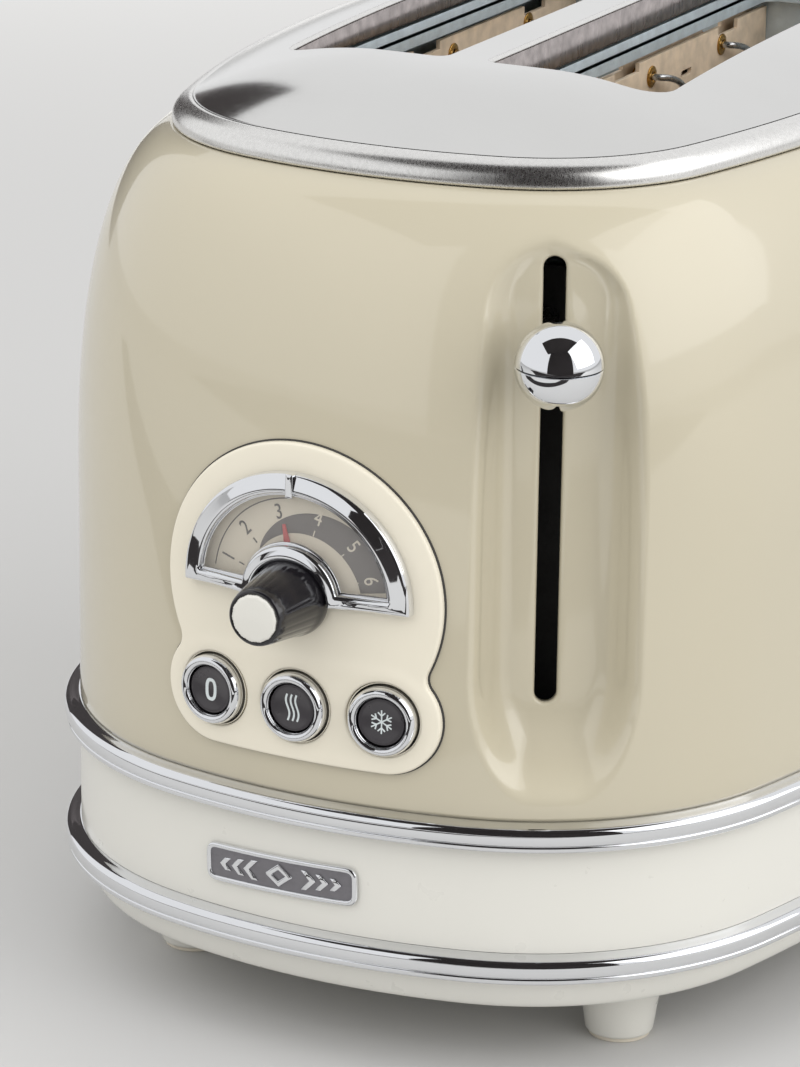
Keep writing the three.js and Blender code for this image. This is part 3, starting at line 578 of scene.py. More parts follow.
def lofted(rows, closed, wrap=False, caps=False):
    """A surface through rows of points; closed joins each row's ends, wrap the last row to the first."""
    count = len(rows[0])
    points = np.concatenate([np.asarray(row, float) for row in rows])
    across = count if closed else count - 1
    faces = []
    for k in range(len(rows) if wrap else len(rows) - 1):
        low, high = k * count, (k + 1) % len(rows) * count
        faces += [(low + i, low + (i + 1) % count, high + (i + 1) % count, high + i) for i in range(across)]
    if caps:
        faces.append(tuple(range(count))[::-1])
        faces.append(tuple((len(rows) - 1) * count + i for i in range(count)))
    return Form().add(points, faces)


def axes(x, y, z, angle):
    """A frame (origin, right, up, out) on an upright wall that faces an angle, from -Y towards +X."""
    turn = radians(angle)
    right = np.array([cos(turn), sin(turn), 0])
    out = np.array([sin(turn), -cos(turn), 0])
    return np.array([x, y, z], float), right, np.array([0, 0, 1.0]), out


def upright(x, y, z=0.0):
    """A frame whose last axis points up."""
    return np.array([x, y, z], float), *np.eye(3)


def lathe(profile, where, sides, closed=False, flute=None):
    """A turned form: (radius, height) points about the frame's last axis."""
    origin, right, up, out = where
    turn = np.linspace(0, 2 * pi, sides, endpoint=False)
    rows = []
    for radius, height in profile:
        spread = np.full(sides, max(radius, 1e-4))
        if flute is not None and radius > 0.01:
            spread = spread + flute(turn, radius, height)
        rows.append(origin + np.outer(spread * np.cos(turn), right) + np.outer(spread * np.sin(turn), up)
                    + out * height)
    return lofted(rows, True, wrap=closed, caps=not closed)


def tube(path, radius, sides):
    """A round wire along a path."""
    path = np.array(path, float)
    ahead = heading(path)
    side = np.cross(ahead[0], [0.3, 0.5, 0.81])
    rows = []
    turn = np.linspace(0, 2 * pi, sides, endpoint=False)
    for point, along in zip(path, ahead):
        side = side - along * (side @ along)
        side /= np.linalg.norm(side)
        other = np.cross(along, side)
        rows.append(point + radius * (np.outer(np.cos(turn), side) + np.outer(np.sin(turn), other)))
    return lofted(rows, True, caps=True)


def block(x0, x1, y0, y1, z0, z1, edge):
    """A block with rounded upright and level edges."""
    corner = min(edge, (x1 - x0) / 2.1, (y1 - y0) / 2.1)
    outline = box_loop(x0, x1, y0, y1, corner, 3)
    levels = [(1, z0), (0.3, z0 + edge * 0.3), (0, z0 + edge)]
    levels += [(0, z1 - edge), (0.3, z1 - edge * 0.3), (1, z1)]
    rows = [at_height(inset(outline, share * corner * 0.9), z) for share, z in levels]
    return lofted(rows, True, caps=True)


# ---------------------------------------------------------------- body plan
def plan_arcs():
    """The outline's arcs (centre, radius, start, end), counter-clockwise from the middle of the rear end."""
    quarter = [
        (END_CENTRE, END_RADIUS, -pi / 2, CORNER_START),
        (CORNER_CENTRE, CORNER_RADIUS, CORNER_START, CORNER_END),
        (SIDE_CENTRE, SIDE_RADIUS, CORNER_END, 0),
    ]
    mirrored = [(c * (1, -1), r, -b, -a) for c, r, a, b in reversed(quarter)]
    half = quarter + mirrored
    other = [(-c, r, a + pi, b + pi) for c, r, a, b in half]
    return other + half


ARCS = plan_arcs()
ARC_LENGTHS = np.array([(r + WALL) * (b - a) for _, r, a, b in ARCS])
ARC_STARTS = np.concatenate([[0], np.cumsum(ARC_LENGTHS)])
ROUND_TRIP = ARC_STARTS[-1]
LEVER_ARC = len(ARCS) // 2 + 1


def along_plan(distance, offset):
    """Points of the outline at distances round the wall, moved outwards by an offset."""
    distance = np.mod(distance, ROUND_TRIP)
    index = np.clip(np.searchsorted(ARC_STARTS, distance, side="right") - 1, 0, len(ARCS) - 1)
    centre = np.array([a[0] for a in ARCS])[index]
    radius = np.array([a[1] for a in ARCS])[index]
    start = np.array([a[2] for a in ARCS])[index]
    angle = start + (distance - ARC_STARTS[index]) / (radius + WALL)
    reach = radius + offset
    return centre + np.column_stack([reach * np.cos(angle), reach * np.sin(angle)])


def stations(end_step=1.5, corner_step=1.1, side_step=3.0, recess_step=None):
    """Distances round the wall with a spacing for each kind of arc, and a finer one at the lever's recess."""
    steps = [end_step, corner_step, side_step, side_step, corner_step, end_step] * 2
    if recess_step:
        steps[LEVER_ARC] = recess_step
    made = [np.linspace(ARC_STARTS[i], ARC_STARTS[i + 1], max(int(ARC_LENGTHS[i] / step), 2), endpoint=False)
            for i, step in enumerate(steps)]
    return np.concatenate(made)


STATIONS = stations()


def ring(offset, z):
    return at_height(along_plan(STATIONS, offset), z)


def hoop(section):
    """A closed section of (offset, z) carried round the body."""
    return lofted([ring(offset, z) for offset, z in section], True, wrap=True)


def wall_offset(z):
    """How far the body's wall lies from the bands at a height; the shoulder is a superellipse."""
    rise = np.clip((np.asarray(z, float) - SHOULDER_START) / SHOULDER_HEIGHT, 0, 1)
    return WALL - SHOULDER_DEPTH * (1 - (1 - rise**SHOULDER_POWER) ** (1 / SHOULDER_POWER))


def on_front(flat, out):
    """Points over the front wall: x and z on the wall, moved outwards."""
    radius = END_RADIUS + wall_offset(flat[:, 1]) + out
    return np.column_stack([flat[:, 0], END_CENTRE[1] - np.sqrt(radius**2 - flat[:, 0] ** 2), flat[:, 1]])


def on_rear(flat, out):
    """The same over the rear wall."""
    return on_front(flat * (-1, 1), out) * (-1, -1, 1)


def on_panel(flat, out):
    """The same, about the dial's centre."""
    return on_front(flat + (PANEL_X, DIAL_Z), out)


# ---------------------------------------------------------------- body shell
_, LEVER_RIGHT, _, LEVER_OUT = axes(0, 0, 0, LEVER_ANGLE)
LEVER_PLACE = ARC_STARTS[LEVER_ARC] + (radians(LEVER_ANGLE - 90) - CORNER_START) * (CORNER_RADIUS + WALL)


def recess_surface(across, z):
    """How far the pressed recess lies from the corner centre."""
    half, corner, bottom, top = 12.2, 8.0, 83.0, 168.5
    x = np.abs(across - RECESS_SHIFT)
    low = bottom + corner
    stretched = np.where(z < low, low - (low - z) * 0.55, z)
    past_x, past_y = x - (half - corner), (low - stretched)
    round_it = np.hypot(np.maximum(past_x, 0), np.maximum(past_y, 0))
    box = round_it + np.minimum(np.maximum(past_x, past_y), 0) - corner
    arch = np.hypot(x, np.maximum(z - top, 0)) - half
    outside = np.where(z > top, arch, box)
    climb = np.maximum(outside + 3.5, 0) / 8.5
    return RECESS_FLOOR + 12.0 * climb**2.1


def soft_least(a, b, blend):
    """The lesser of two values, blended where they are close."""
    share = np.clip(0.5 + 0.5 * (b - a) / blend, 0, 1)
    return b * (1 - share) + a * share - blend * share * (1 - share)


def press(points):
    """Presses the lever recess into points of the body wall."""
    from_centre = points[:, :2] - CORNER_CENTRE
    across = from_centre @ LEVER_RIGHT[:2]
    out = from_centre @ LEVER_OUT[:2]
    near = (np.abs(across) < 40) & (out > 20)
    crisp = np.clip((points[:, 2] - 148) / 20, 0, 1) * np.clip((across + 1) / 6, 0, 1)
    pressed = soft_least(out, recess_surface(across, points[:, 2]), 6.0 - 5.3 * crisp)
    move = np.where(near, pressed - out, 0)
    made = points.copy()
    made[:, :2] += np.outer(move, LEVER_OUT[:2])
    return made


def wall_point(flat):
    """Unrolled (distance round the wall, z) as points of the body's wall."""
    return np.column_stack([along_plan(flat[:, 0], wall_offset(flat[:, 1])), flat[:, 1]])


def stadium(half_width, bottom, top, steps=10):
    """A slot with round ends."""
    return tidy_loop(arc(0, top - half_width, half_width, 0, 180, steps),
                     arc(0, bottom + half_width, half_width, 180, 360, steps))


def from_lever(flat):
    """Lever-frame (across, z) as (distance round the wall, z)."""
    reach = CORNER_RADIUS + wall_offset(flat[:, 1])
    turn = np.arcsin(flat[:, 0] / reach)
    return np.column_stack([LEVER_PLACE + turn * (CORNER_RADIUS + WALL), flat[:, 1]])


def front_place(x):
    """The distance round the wall of a point of the front wall at x."""
    return ROUND_TRIP / 2 + np.arcsin(x / (END_RADIUS + WALL)) * (END_RADIUS + WALL)


def wall_grid(columns, rows, holes, spacing):
    """The points and triangles of an unrolled wall: columns round it, rows up it, and holes in it."""
    border = tidy_loop(
        at_height(columns[:, None], rows[0]),
        np.column_stack([np.full(len(rows), columns[-1]), rows]),
        at_height(columns[::-1, None], rows[-1]),
        np.column_stack([np.full(len(rows) - 2, columns[0]), rows[-2:0:-1]]),
    )
    inner = scatter([border, *holes], spacing, columns[1:-1], rows[1:-1])
    return np.concatenate([border, *holes, inner]), triangulate([border, *holes], inner)


def outer_shell():
    columns = np.append(stations(2.0, 1.6, 3.5, recess_step=0.62), ROUND_TRIP)
    rows = np.concatenate([np.arange(SHELL_BOTTOM, 62, 0.7), np.arange(62, 186, 1.0),
                           np.arange(186, SHELL_TOP, 0.6), [SHELL_TOP]])
    roll = 0.9
    slot = refine(stadium(LEVER_SLOT_HALF, LEVER_SLOT_BOTTOM, LEVER_SLOT_TOP), 1.0)
    mouth = inset(slot, -roll)
    holes = [from_lever(mouth)]
    holes += [circle(front_place(PANEL_X + i * BUTTON_PITCH), BUTTON_Z, BUTTON_HOLE, 40) for i in (-1, 0, 1)]
    holes.append(circle(front_place(PANEL_X), DIAL_Z, 5.2, 28))
    flat, faces = wall_grid(columns, rows, holes, 1.0)
    form = Form().add(press(wall_point(flat)), faces)
    # the edge of the lever slot rolls inwards
    edge = press(wall_point(from_lever(mouth)))
    move = slot - mouth
    lengthways = np.column_stack([np.outer(move[:, 0], LEVER_RIGHT[:2]), move[:, 1]])
    inward = np.append(-LEVER_OUT[:2], 0)
    rows3d = [edge + lengthways * sin(t) + inward * roll * (1 - cos(t))
              for t in np.linspace(0, pi / 2, 5)]
    rows3d.append(rows3d[-1] + inward * 1.2)
    form.join(lofted(rows3d, True))
    # the top edge turns in under the cover
    section = [(wall_offset(SHELL_TOP), SHELL_TOP), (-24.4, 189.65), (-25.2, 189.6), (-28.0, 189.5)]
    form.join(lofted([at_height(along_plan(columns, offset), z) for offset, z in section], False))
    piece("outer_shell_skin", form, "cream", nodes=["outer_shell"], crease=50, thickness=0.8)


# ---------------------------------------------------------------- top cover
def inset_from_plan(flat):
    """How far points lie from the bands' outline, outwards positive."""
    spot = np.abs(flat) * (1, -1)
    from_end, from_side = spot - END_CENTRE, spot - SIDE_CENTRE
    in_end = np.arctan2(from_end[:, 1], from_end[:, 0]) <= CORNER_START
    in_side = np.arctan2(from_side[:, 1], from_side[:, 0]) >= CORNER_END
    end = np.hypot(*from_end.T) - END_RADIUS
    side = np.hypot(*from_side.T) - SIDE_RADIUS
    corner = np.hypot(*(spot - CORNER_CENTRE).T) - CORNER_RADIUS
    alone = np.where(in_end, end, np.where(in_side, side, corner))
    return np.where(in_end & in_side, np.maximum(end, side), alone)


def dome(flat):
    """The cover's height: it rises from its rim to a level top."""
    share = np.clip((DOME_OFFSET - inset_from_plan(flat)) / DOME_RUN, 0, 1)
    return DOME_START + (HEIGHT - DOME_START) * (1 - (1 - share) ** 2)


def dome_facing(points):
    """The cover's upward directions, from the slope of the dome."""
    step = 0.05
    flat = points[:, :2]
    along_x = (dome(flat + (step, 0)) - dome(flat - (step, 0))) / (2 * step)
    along_y = (dome(flat + (0, step)) - dome(flat - (0, step))) / (2 * step)
    return unit(np.column_stack([-along_x, -along_y, np.ones(len(flat))]))


def slot_loop(side, grow, steps=7):
    """A bread slot's outline on one side of the middle, grown by a margin."""
    inner, outer, half = SLOT_INNER - grow, SLOT_OUTER + grow, SLOT_HALF_LENGTH + grow
    tight, wide = 2.5 + grow, 8 + grow
    loop = tidy_loop(
        arc(outer - wide, wide - half, wide, -90, 0, steps),
        arc(outer - wide, half - wide, wide, 0, 90, steps),
        arc(inner + tight, half - tight, tight, 90, 180, steps),
        arc(inner + tight, tight - half, tight, 180, 270, steps),
    )
    return loop * side


def top_cover():
    roll = 0.9
    edge = along_plan(STATIONS, DOME_OFFSET)
    slots = [refine(slot_loop(side, 0), 2.0) for side in (1, -1)]
    mouths = [inset(loop, -roll) for loop in slots]
    inner = scatter([edge, *mouths], 2.2)
    inner = inner[inset_from_plan(inner) < DOME_OFFSET - 2.7]
    inner = np.concatenate([inner, *(along_plan(STATIONS, DOME_OFFSET - deep) for deep in (0.5, 1.1, 1.8))])
    faces = triangulate([edge, *mouths], inner)
    flat = np.concatenate([edge, *mouths, inner])
    form = Form().add(np.column_stack([flat, dome(flat)]), faces)
    piece("top_cover_skin", form, "brushed", nodes=["top_cover"], facing=dome_facing)
    section = soften([(DOME_OFFSET - 0.02, DOME_START - 0.08), (-28.2, 195.5), (-26.0, 194.4),
                      (RIM_OFFSET, 192.3), (-24.4, 189.95), (-26.2, 189.55), (-27.4, 189.9)],
                     [0, 0.4, 1.6, 1.8, 0.7, 0.5, 0])
    bead = lofted([ring(offset, z) for offset, z in section], True)
    lips = Form()
    for slot, mouth in zip(slots, mouths):
        height = dome(mouth)
        rolled = [np.column_stack([mouth + (slot - mouth) * sin(turn), height - roll * (1 - cos(turn))])
                  for turn in np.linspace(0, pi / 2, 6)]
        bead.join(lofted(rolled, True))
        foot = at_height(inset(slot, -0.1), LIP_BOTTOM)
        lips.join(lofted([rolled[-1], at_height(slot, LIP_BOTTOM + 0.4), foot], True))
    piece("top_cover_bead", bead, "bead", crease=50, thickness=0.6)
    # the lips take the darker steel, painted shade for the inside of the slots
    piece("top_cover_lips", lips, "lip", crease=50, thickness=0.5)


# ---------------------------------------------------------------- bands and base
def trim_band(name, bottom, node):
    """A pressed band: a lower bead, a groove, and a full face that turns in at the top."""
    section = soften([
        (-6.4, 0), (-1.0, 0), (-0.40, 0.35), (-0.30, 1.30), (-0.55, 1.55), (-0.20, 1.85), (0, 2.6), (0, 4.4),
        (-0.75, 5.35), (-2.4, 5.72), (-3.3, 6.05), (-6.4, 6.05),
    ], [0, 0.4, 0.5, 0.25, 0.12, 0.2, 0.7, 0.6, 0.7, 0.8, 0.5, 0], True, 3)
    section = [(offset, bottom + height) for offset, height in section]
    piece(name, hoop(section), "chrome", nodes=[node], crease=60)


def wall_sheet(bottom, top, holes, depth, step=2.5):
    """A moulded upright wall: its skin and the rest. Its holes are loops of (distance round the wall, z)."""
    seam = len(STATIONS) // 4
    columns = np.concatenate([STATIONS[seam:], STATIONS[1:seam + 1] + ROUND_TRIP])
    rows = np.linspace(bottom, top, max(int((top - bottom) / step), 2) + 1)
    flat, faces = wall_grid(columns, rows, holes, 1.2)
    skin = Form().add(np.column_stack([along_plan(flat[:, 0], WALL), flat[:, 1]]), faces)
    form = Form()
    form.add(np.column_stack([along_plan(flat[:, 0], WALL - depth), flat[:, 1]]), faces[:, ::-1])
    for loop in holes:
        edges = [np.column_stack([along_plan(loop[:, 0], WALL - deep), loop[:, 1]]) for deep in (0, depth)]
        form.join(lofted(edges, True))
    for z in (bottom, top):
        form.join(lofted([ring(WALL, z), ring(WALL - depth, z)], True))
    return skin, form


def wall_facing(points):
    """The outward directions of the upright wall at points on it."""
    table = np.linspace(0, ROUND_TRIP, 3000, endpoint=False)
    spots = along_plan(table, WALL)
    out = along_plan(table, WALL + 1) - spots
    near = [int(np.argmin(((spots - point[:2]) ** 2).sum(1))) for point in points]
    return np.column_stack([out[near], np.zeros(len(points))])


def rear_place(x):
    """The distance round the wall of a point of the rear wall at x."""
    return -np.arcsin(x / (END_RADIUS + WALL)) * (END_RADIUS + WALL)


def base_band():
    gap = 0.4
    left, right = (ROUND_TRIP + rear_place(side * (TRAY_HALF_WIDTH + gap)) for side in (1, -1))
    tray = refine(box_loop(left, right, TRAY_Z - gap, TRAY_Z + TRAY_HEIGHT + gap), 1.5)
    gland_arc = len(ARCS) - 2
    gland = ARC_STARTS[gland_arc] + (radians(90 - GLAND_ANGLE) + CORNER_END) * (CORNER_RADIUS + WALL)
    holes = [circle(gland, GLAND_Z, 5.3, 32), tray]
    skin, form = wall_sheet(LOWER_BAND_Z + BAND_HEIGHT + 0.3, UPPER_BAND_Z - 0.3, holes, 2.5)
    piece("base_band_skin", skin, "ivory", nodes=["base_band"], facing=wall_facing)
    piece("base_band_wall", form, "ivory", crease=40)


def base_pan():
    top = LOWER_BAND_Z - 0.3
    section = soften([(-4.2, top), (-5.2, 20.5), (-6.6, 17.6), (-8.6, SKIRT_BOTTOM), (-11, SKIRT_BOTTOM),
                      (-11, 19.7), (-8.2, 19.9), (-6.7, top)], [0.3, 2.5, 1.2, 0.8, 0, 0, 0.8, 0.3], True, 3)
    form = hoop(section)
    outer = along_plan(STATIONS[::2], -10.9)
    vents = [box_loop(-34, 34, i * 16 - 3, i * 16 + 3, 3, 5) for i in (-3, -2, -1, 1, 2, 3)]
    screws = [circle(x, y, 2.0, 20) for x in (-SCREW_X, SCREW_X) for y in (-SCREW_Y, SCREW_Y)]
    form.join(plate([outer, *vents, *screws], 19.7, SKIRT_BOTTOM, -0.0001, at_height, 6.0, 1))
    piece("base_pan_moulding", form, "ivory", nodes=["base_pan"], crease=40)


def feet():
    corners = {"front_left": (-1, -1), "front_right": (1, -1), "rear_left": (-1, 1), "rear_right": (1, 1)}
    leg = soften([(0, 0.9), (7.4, 0.9), (8.5, 9), (10.2, 15.2), (11.2, 16.8), (0, 16.8)],
                 [0, 0.9, 4, 1.2, 0.2, 0])
    pad = soften([(0, 0.9), (6.7, 0.9), (6.7, 0.0), (0, 0.0)], [0, 0, 0.3, 0])
    screw = soften([(0, 14.9), (1.0, 14.9), (1.0, 15.7), (1.3, 15.7), (1.4, 14.9), (2.6, 14.9), (3.4, 15.5),
                    (3.4, 16.6), (1.6, 16.6), (1.6, 26), (0, 26)], [0, 0, 0, 0, 0, 0.5, 0.3, 0.1, 0, 0.2, 0])
    for corner, (sx, sy) in corners.items():
        x, y = sx * FOOT_X, sy * FOOT_Y
        piece(f"foot_{corner}_leg", lathe(leg, upright(x, y), 56), "ivory", nodes=[f"foot_{corner}"])
        piece(f"foot_{corner}_pad", lathe(pad, upright(x, y), 48), "pad", nodes=[f"foot_pad_{corner}"])
        piece(f"base_screw_{corner}_head", lathe(screw, upright(sx * SCREW_X, sy * SCREW_Y), 32), "steel",
              nodes=[f"base_screw_{corner}"])


def cord_gland():
    where = axes(CORNER_CENTRE[0], -CORNER_CENTRE[1], GLAND_Z, 180 - GLAND_ANGLE)
    section = soften([(3.4, 60), (5, 60), (5, 67.1), (7, 67.1), (6.8, 68.4), (5.2, 68.7), (3.4, 68.7)],
                     [0.2, 0.2, 0.1, 0.5, 0.5, 0.5, 0.4], True, 4)
    piece("cord_gland_ring", lathe(section, where, 56, closed=True), "rubber", nodes=["cord_gland"])


# ---------------------------------------------------------------- control panel
def panel_loop():
    """A round head over a wide foot, with filleted notches between them, about the dial's centre."""
    foot, fillet = 12.0, 4.0
    reach, drop = HEAD_RADIUS - foot, DIAL_Z - BUTTON_Z
    apart = hypot(reach, drop)
    to_head, to_foot = HEAD_RADIUS + fillet, foot + fillet
    along = (to_head**2 - to_foot**2 + apart**2) / (2 * apart)
    across = sqrt(max(to_head**2 - along**2, 0))
    right, up = np.array([reach, -drop]) / apart
    x, y = right * along - up * across, up * along + right * across
    head = degrees(atan2(y, x))
    turn = degrees(atan2(y + drop, x - reach))
    return tidy_loop(
        arc(0, 0, HEAD_RADIUS, head, 180 - head, 90),
        arc(-x, y, fillet, -head, -turn, 8),
        arc(-reach, -drop, foot, 180 - turn, 270, 26),
        refine(np.array([(-reach, -drop - foot), (reach, -drop - foot)]), 2.0)[:20],
        arc(reach, -drop, foot, -90, turn, 26),
        arc(x, y, fillet, 180 + turn, 180 + head, 8),
    )


def half_disc(radius, bottom, steps=48):
    """A disc cut off along a level line."""
    start = degrees(asin(bottom / radius))
    return tidy_loop(arc(0, 0, radius, start, 180 - start, steps))


def arc_band(inner, outer, bottom, steps=60):
    """A loop between two radii, above a level line."""
    out, into = (degrees(asin(bottom / radius)) for radius in (outer, inner))
    return tidy_loop(arc(0, 0, outer, out, 180 - out, steps), arc(0, 0, inner, 180 - into, into, steps // 2))


def button_places():
    """Each button's name and its frame on the front wall."""
    for i, name in zip((-1, 0, 1), ("cancel", "reheat", "defrost")):
        x = PANEL_X + i * BUTTON_PITCH
        turn = asin(x / (END_RADIUS + WALL))
        y = END_CENTRE[1] - (END_RADIUS + WALL) * cos(turn)
        yield name, axes(x, y, BUTTON_Z, degrees(turn))


def control_panel():
    drop = DIAL_Z - BUTTON_Z

    def ridge(flat):
        """A low step round the row of buttons."""
        along = np.maximum(np.abs(flat[:, 0]) - (HEAD_RADIUS - 12), 0)
        depth = 11.2 - np.hypot(along, flat[:, 1] + drop)
        share = np.clip((depth + 0.6) / 1.6, 0, 1)
        return 0.16 * share * share * (3 - 2 * share)

    holes = [circle(i * BUTTON_PITCH, -drop, BUTTON_HOLE, 56) for i in (-1, 0, 1)]
    holes.append(half_disc(24.2, -0.1))
    form = plate([panel_loop(), *holes], 0.3, 1.6, 0.55, on_panel, 1.1, 5, ridge)
    # a dark ring under the panel and just beyond its edge: painted shade for the gap between the panel and
    # the wall
    gap_shade = plate([inset(panel_loop(), -0.32), inset(panel_loop(), 2.0)], 0.02, 0.4, 0.05, on_panel, 1.5, 1)
    piece("control_panel_painted_gap_shade", gap_shade, "rubber")
    for _, where in button_places():
        form.join(lathe([(8.15, -4.5), (8.15, 1.2), (7.95, 1.2), (7.95, -4.5)], where, 56, closed=True))
    piece("control_panel_plate", form, "panel", nodes=["control_panel"], crease=60)


def dial():
    outline = [(DIAL_OUTER, -0.9), (DIAL_OUTER, 0.1), *arc(0, 0, DIAL_OUTER, 0.8, 179.2, 90),
               (-DIAL_OUTER, 0.1), (-DIAL_OUTER, -0.9), (-9.2, -0.9), *arc(0, -0.9, 9.0, 178, 2, 44),
               (9.2, -0.9)]
    outer = tidy_loop(soften(outline, [0.9] + [0] * 93 + [0.9, 0.3] + [0] * 45 + [0.3], True, 5))
    window = tidy_loop(soften(arc_band(WINDOW_INNER, WINDOW_OUTER, WINDOW_BOTTOM, 80), 0.12, True, 1))

    def fall(flat):
        """The frame's face falls away outwards, and the ring round the knob falls away from it."""
        away = np.hypot(flat[:, 0], flat[:, 1])
        return np.clip(0.2 * (24.2 - away), -0.5, 0.45) - 0.2 * np.clip(away - 11, -2, 2)

    # the inner points lie on rings, so that the reflections follow the arcs
    grid = np.concatenate([arc(0, 0, radius, 0, 180, 90) for radius in np.arange(9.6, DIAL_OUTER, 0.7)])
    frame_form = plate([outer, window], 3.45, 5.05, 0.85, on_panel, 0.9, 6, fall, grid)
    inner_lip = arc_band(WINDOW_INNER - 0.3, WINDOW_OUTER + 0.3, WINDOW_BOTTOM - 0.3, 80)
    window_small = arc_band(WINDOW_INNER + 0.45, WINDOW_OUTER - 0.55, WINDOW_BOTTOM + 0.45, 80)
    frame_form.join(plate([inner_lip, window_small], 3.3, 3.9, 0.3, on_panel, 2.0, 3))
    skirt = arc_band(WINDOW_OUTER + 0.05, DIAL_OUTER - 0.04, -0.86)
    frame_form.join(plate([skirt], 1.7, 3.6, 0.02, on_panel, 1.5, 1))
    for near, far in ((9.8, WINDOW_OUTER + 0.2), (-WINDOW_OUTER - 0.2, -9.8)):
        bar = refine(box_loop(near, far, -0.86, WINDOW_BOTTOM - 0.04), 1.5)
        frame_form.join(plate([bar], 1.7, 3.6, 0.02, on_panel, 1.5, 1))
    tab = box_loop(-0.85, 0.85, 21.6, 26.7, 0.3, 4)
    frame_form.join(plate([tab], 3.2, 5.35, 0.22, on_panel, 1.0, 3))
    piece("dial_frame_plate", frame_form, "chrome", nodes=["dial_frame"], crease=60)
    clear = arc_band(WINDOW_INNER + 0.3, WINDOW_OUTER - 0.3, WINDOW_BOTTOM + 0.3, 60)
    pane = plate([clear], 3.3, 3.7, 0.05, on_panel, 1.5, 1)
    piece("dial_window_pane", pane, "window", nodes=["dial_window"])
    ground = plate([arc_band(5.8, 23.8, 0.2, 60)], 0.45, 0.85, 0.05, on_panel, 1.5, 1)
    piece("dial_scale_ground", ground, "scale", nodes=["dial_scale"])


def glyph(text, size):
    """The flat faces of a printed character, centred."""
    curve = bpy.data.curves.new("glyph", "FONT")
    curve.body = text
    curve.size = size
    curve.align_x = "CENTER"
    curve.align_y = "CENTER"
    holder = bpy.data.objects.new("glyph", curve)
    bpy.context.scene.collection.objects.link(holder)
    bpy.context.view_layer.update()
    mesh = holder.evaluated_get(bpy.context.evaluated_depsgraph_get()).to_mesh()
    points = np.array([v.co[:2] for v in mesh.vertices]).reshape(-1, 2)
    faces = [tuple(p.vertices) for p in mesh.polygons]
    bpy.data.objects.remove(holder)
    bpy.data.curves.remove(curve)
    middle = (points.min(0) + points.max(0)) / 2
    return points - middle, faces


def printed(points, faces, low, high, place):
    """A thin solid over flat faces."""
    count = len(points)
    form = Form().add(place(points, np.full(count, high)), faces)
    form.add(place(points, np.full(count, low)), [face[::-1] for face in faces])
    sides = {(a, b): True for face in faces for a, b in zip(face, face[1:] + face[:1])}
    rim = [(a, b, b + count, a + count) for a, b in sides if (b, a) not in sides]
    form.add(np.concatenate([place(points, np.full(count, high)), place(points, np.full(count, low))]), rim)
    return form


def polygon(loop):
    """A loop as the points and the one face that printed() takes."""
    return np.array(loop, float), [tuple(range(len(loop)))]


def turned(points, angle):
    """Flat points turned about the origin by an angle in degrees."""
    turn = radians(angle)
    return points @ np.array([[cos(turn), sin(turn)], [-sin(turn), cos(turn)]])


def stroke(path, width, steps=4):
    """A loop round a path, with round ends."""
    path = np.array(path, float)
    ahead = heading(path)
    side = leftwards(ahead) * width / 2
    ends = []
    for point, along in ((path[-1], ahead[-1]), (path[0], -ahead[0])):
        base = degrees(atan2(along[1], along[0]))
        ends.append(arc(*point, width / 2, base - 90, base + 90, steps)[1:-1])
    return np.concatenate([path - side, ends[0], (path + side)[::-1], ends[1]])


def polar(radius, turns):
    """Points at one or more radii and at turns in radians."""
    return np.column_stack([radius * np.cos(turns), radius * np.sin(turns)])


def dial_print():
    numerals = {"1": 163, "2": 136, "3": 105, "4": 74, "5": 43, "6": 16.7}
    reach, size = 17.6, 4.6
    low, high = 0.83, 0.95
    dark, pale = Form(), Form()
    for text, angle in numerals.items():
        points, faces = glyph(text, size)
        spot = reach * np.array([cos(radians(angle)), sin(radians(angle))])
        target = dark if text in "123" else pale
        target.join(printed(turned(points * (0.82, 1), angle - 90) + spot, faces, low, high + 0.04, on_panel))
        tick = box_loop(13.4, 14.7, -0.12, 0.12)
        target.join(printed(*polygon(turned(tick, angle)), low, high + 0.04, on_panel))
    line = polar(20.3, np.radians(np.linspace(96, 172, 40)))
    dark.join(plate([stroke(line, 0.24)], low, high, 0.01, on_panel, 2.0, 1))
    # the darker toasting scale widens from a point near 2 to its full width at 6
    share = np.linspace(0, 1, 50)
    turn = np.radians(138 - 130 * share)
    outer, inner = 12.2 + 9.4 * (1 - (1 - share) ** 1.6), 12.0 + 2.6 * share
    crescent = np.concatenate([polar(outer, turn)[::-1], polar(inner, turn)[1:]])
    crescent[:, 1] = np.maximum(crescent[:, 1], 1.0)
    piece("dial_crescent_print", plate([tidy_loop(crescent)], low, 0.92, 0.01, on_panel, 1.2, 1), "shade")
    piece("dial_numerals_dark", dark, "ink")
    piece("dial_numerals_pale", pale, "print")


def dial_pointer():
    front, back = (-corner.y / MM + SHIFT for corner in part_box("dial_pointer"))

    def flat_place(flat, out):
        return np.column_stack([flat[:, 0] + PANEL_X, -out, flat[:, 1] + DIAL_Z])

    form = plate([circle(0, 0, 5.4, 40), circle(0, 0, 3.3, 28)], back, front, 0.08, flat_place, 2.0, 2)
    hand = soften([(4.8, -1.35), (14.9, -0.3), (14.9, 0.3), (4.8, 1.35)], 0.15, True, 3)
    form.join(plate([turned(hand, POINTER_ANGLE)], back, front, 0.08, flat_place, 2.0, 2))
    piece("dial_pointer_hand", form, "red", "shade_dial", nodes=["dial_pointer"])


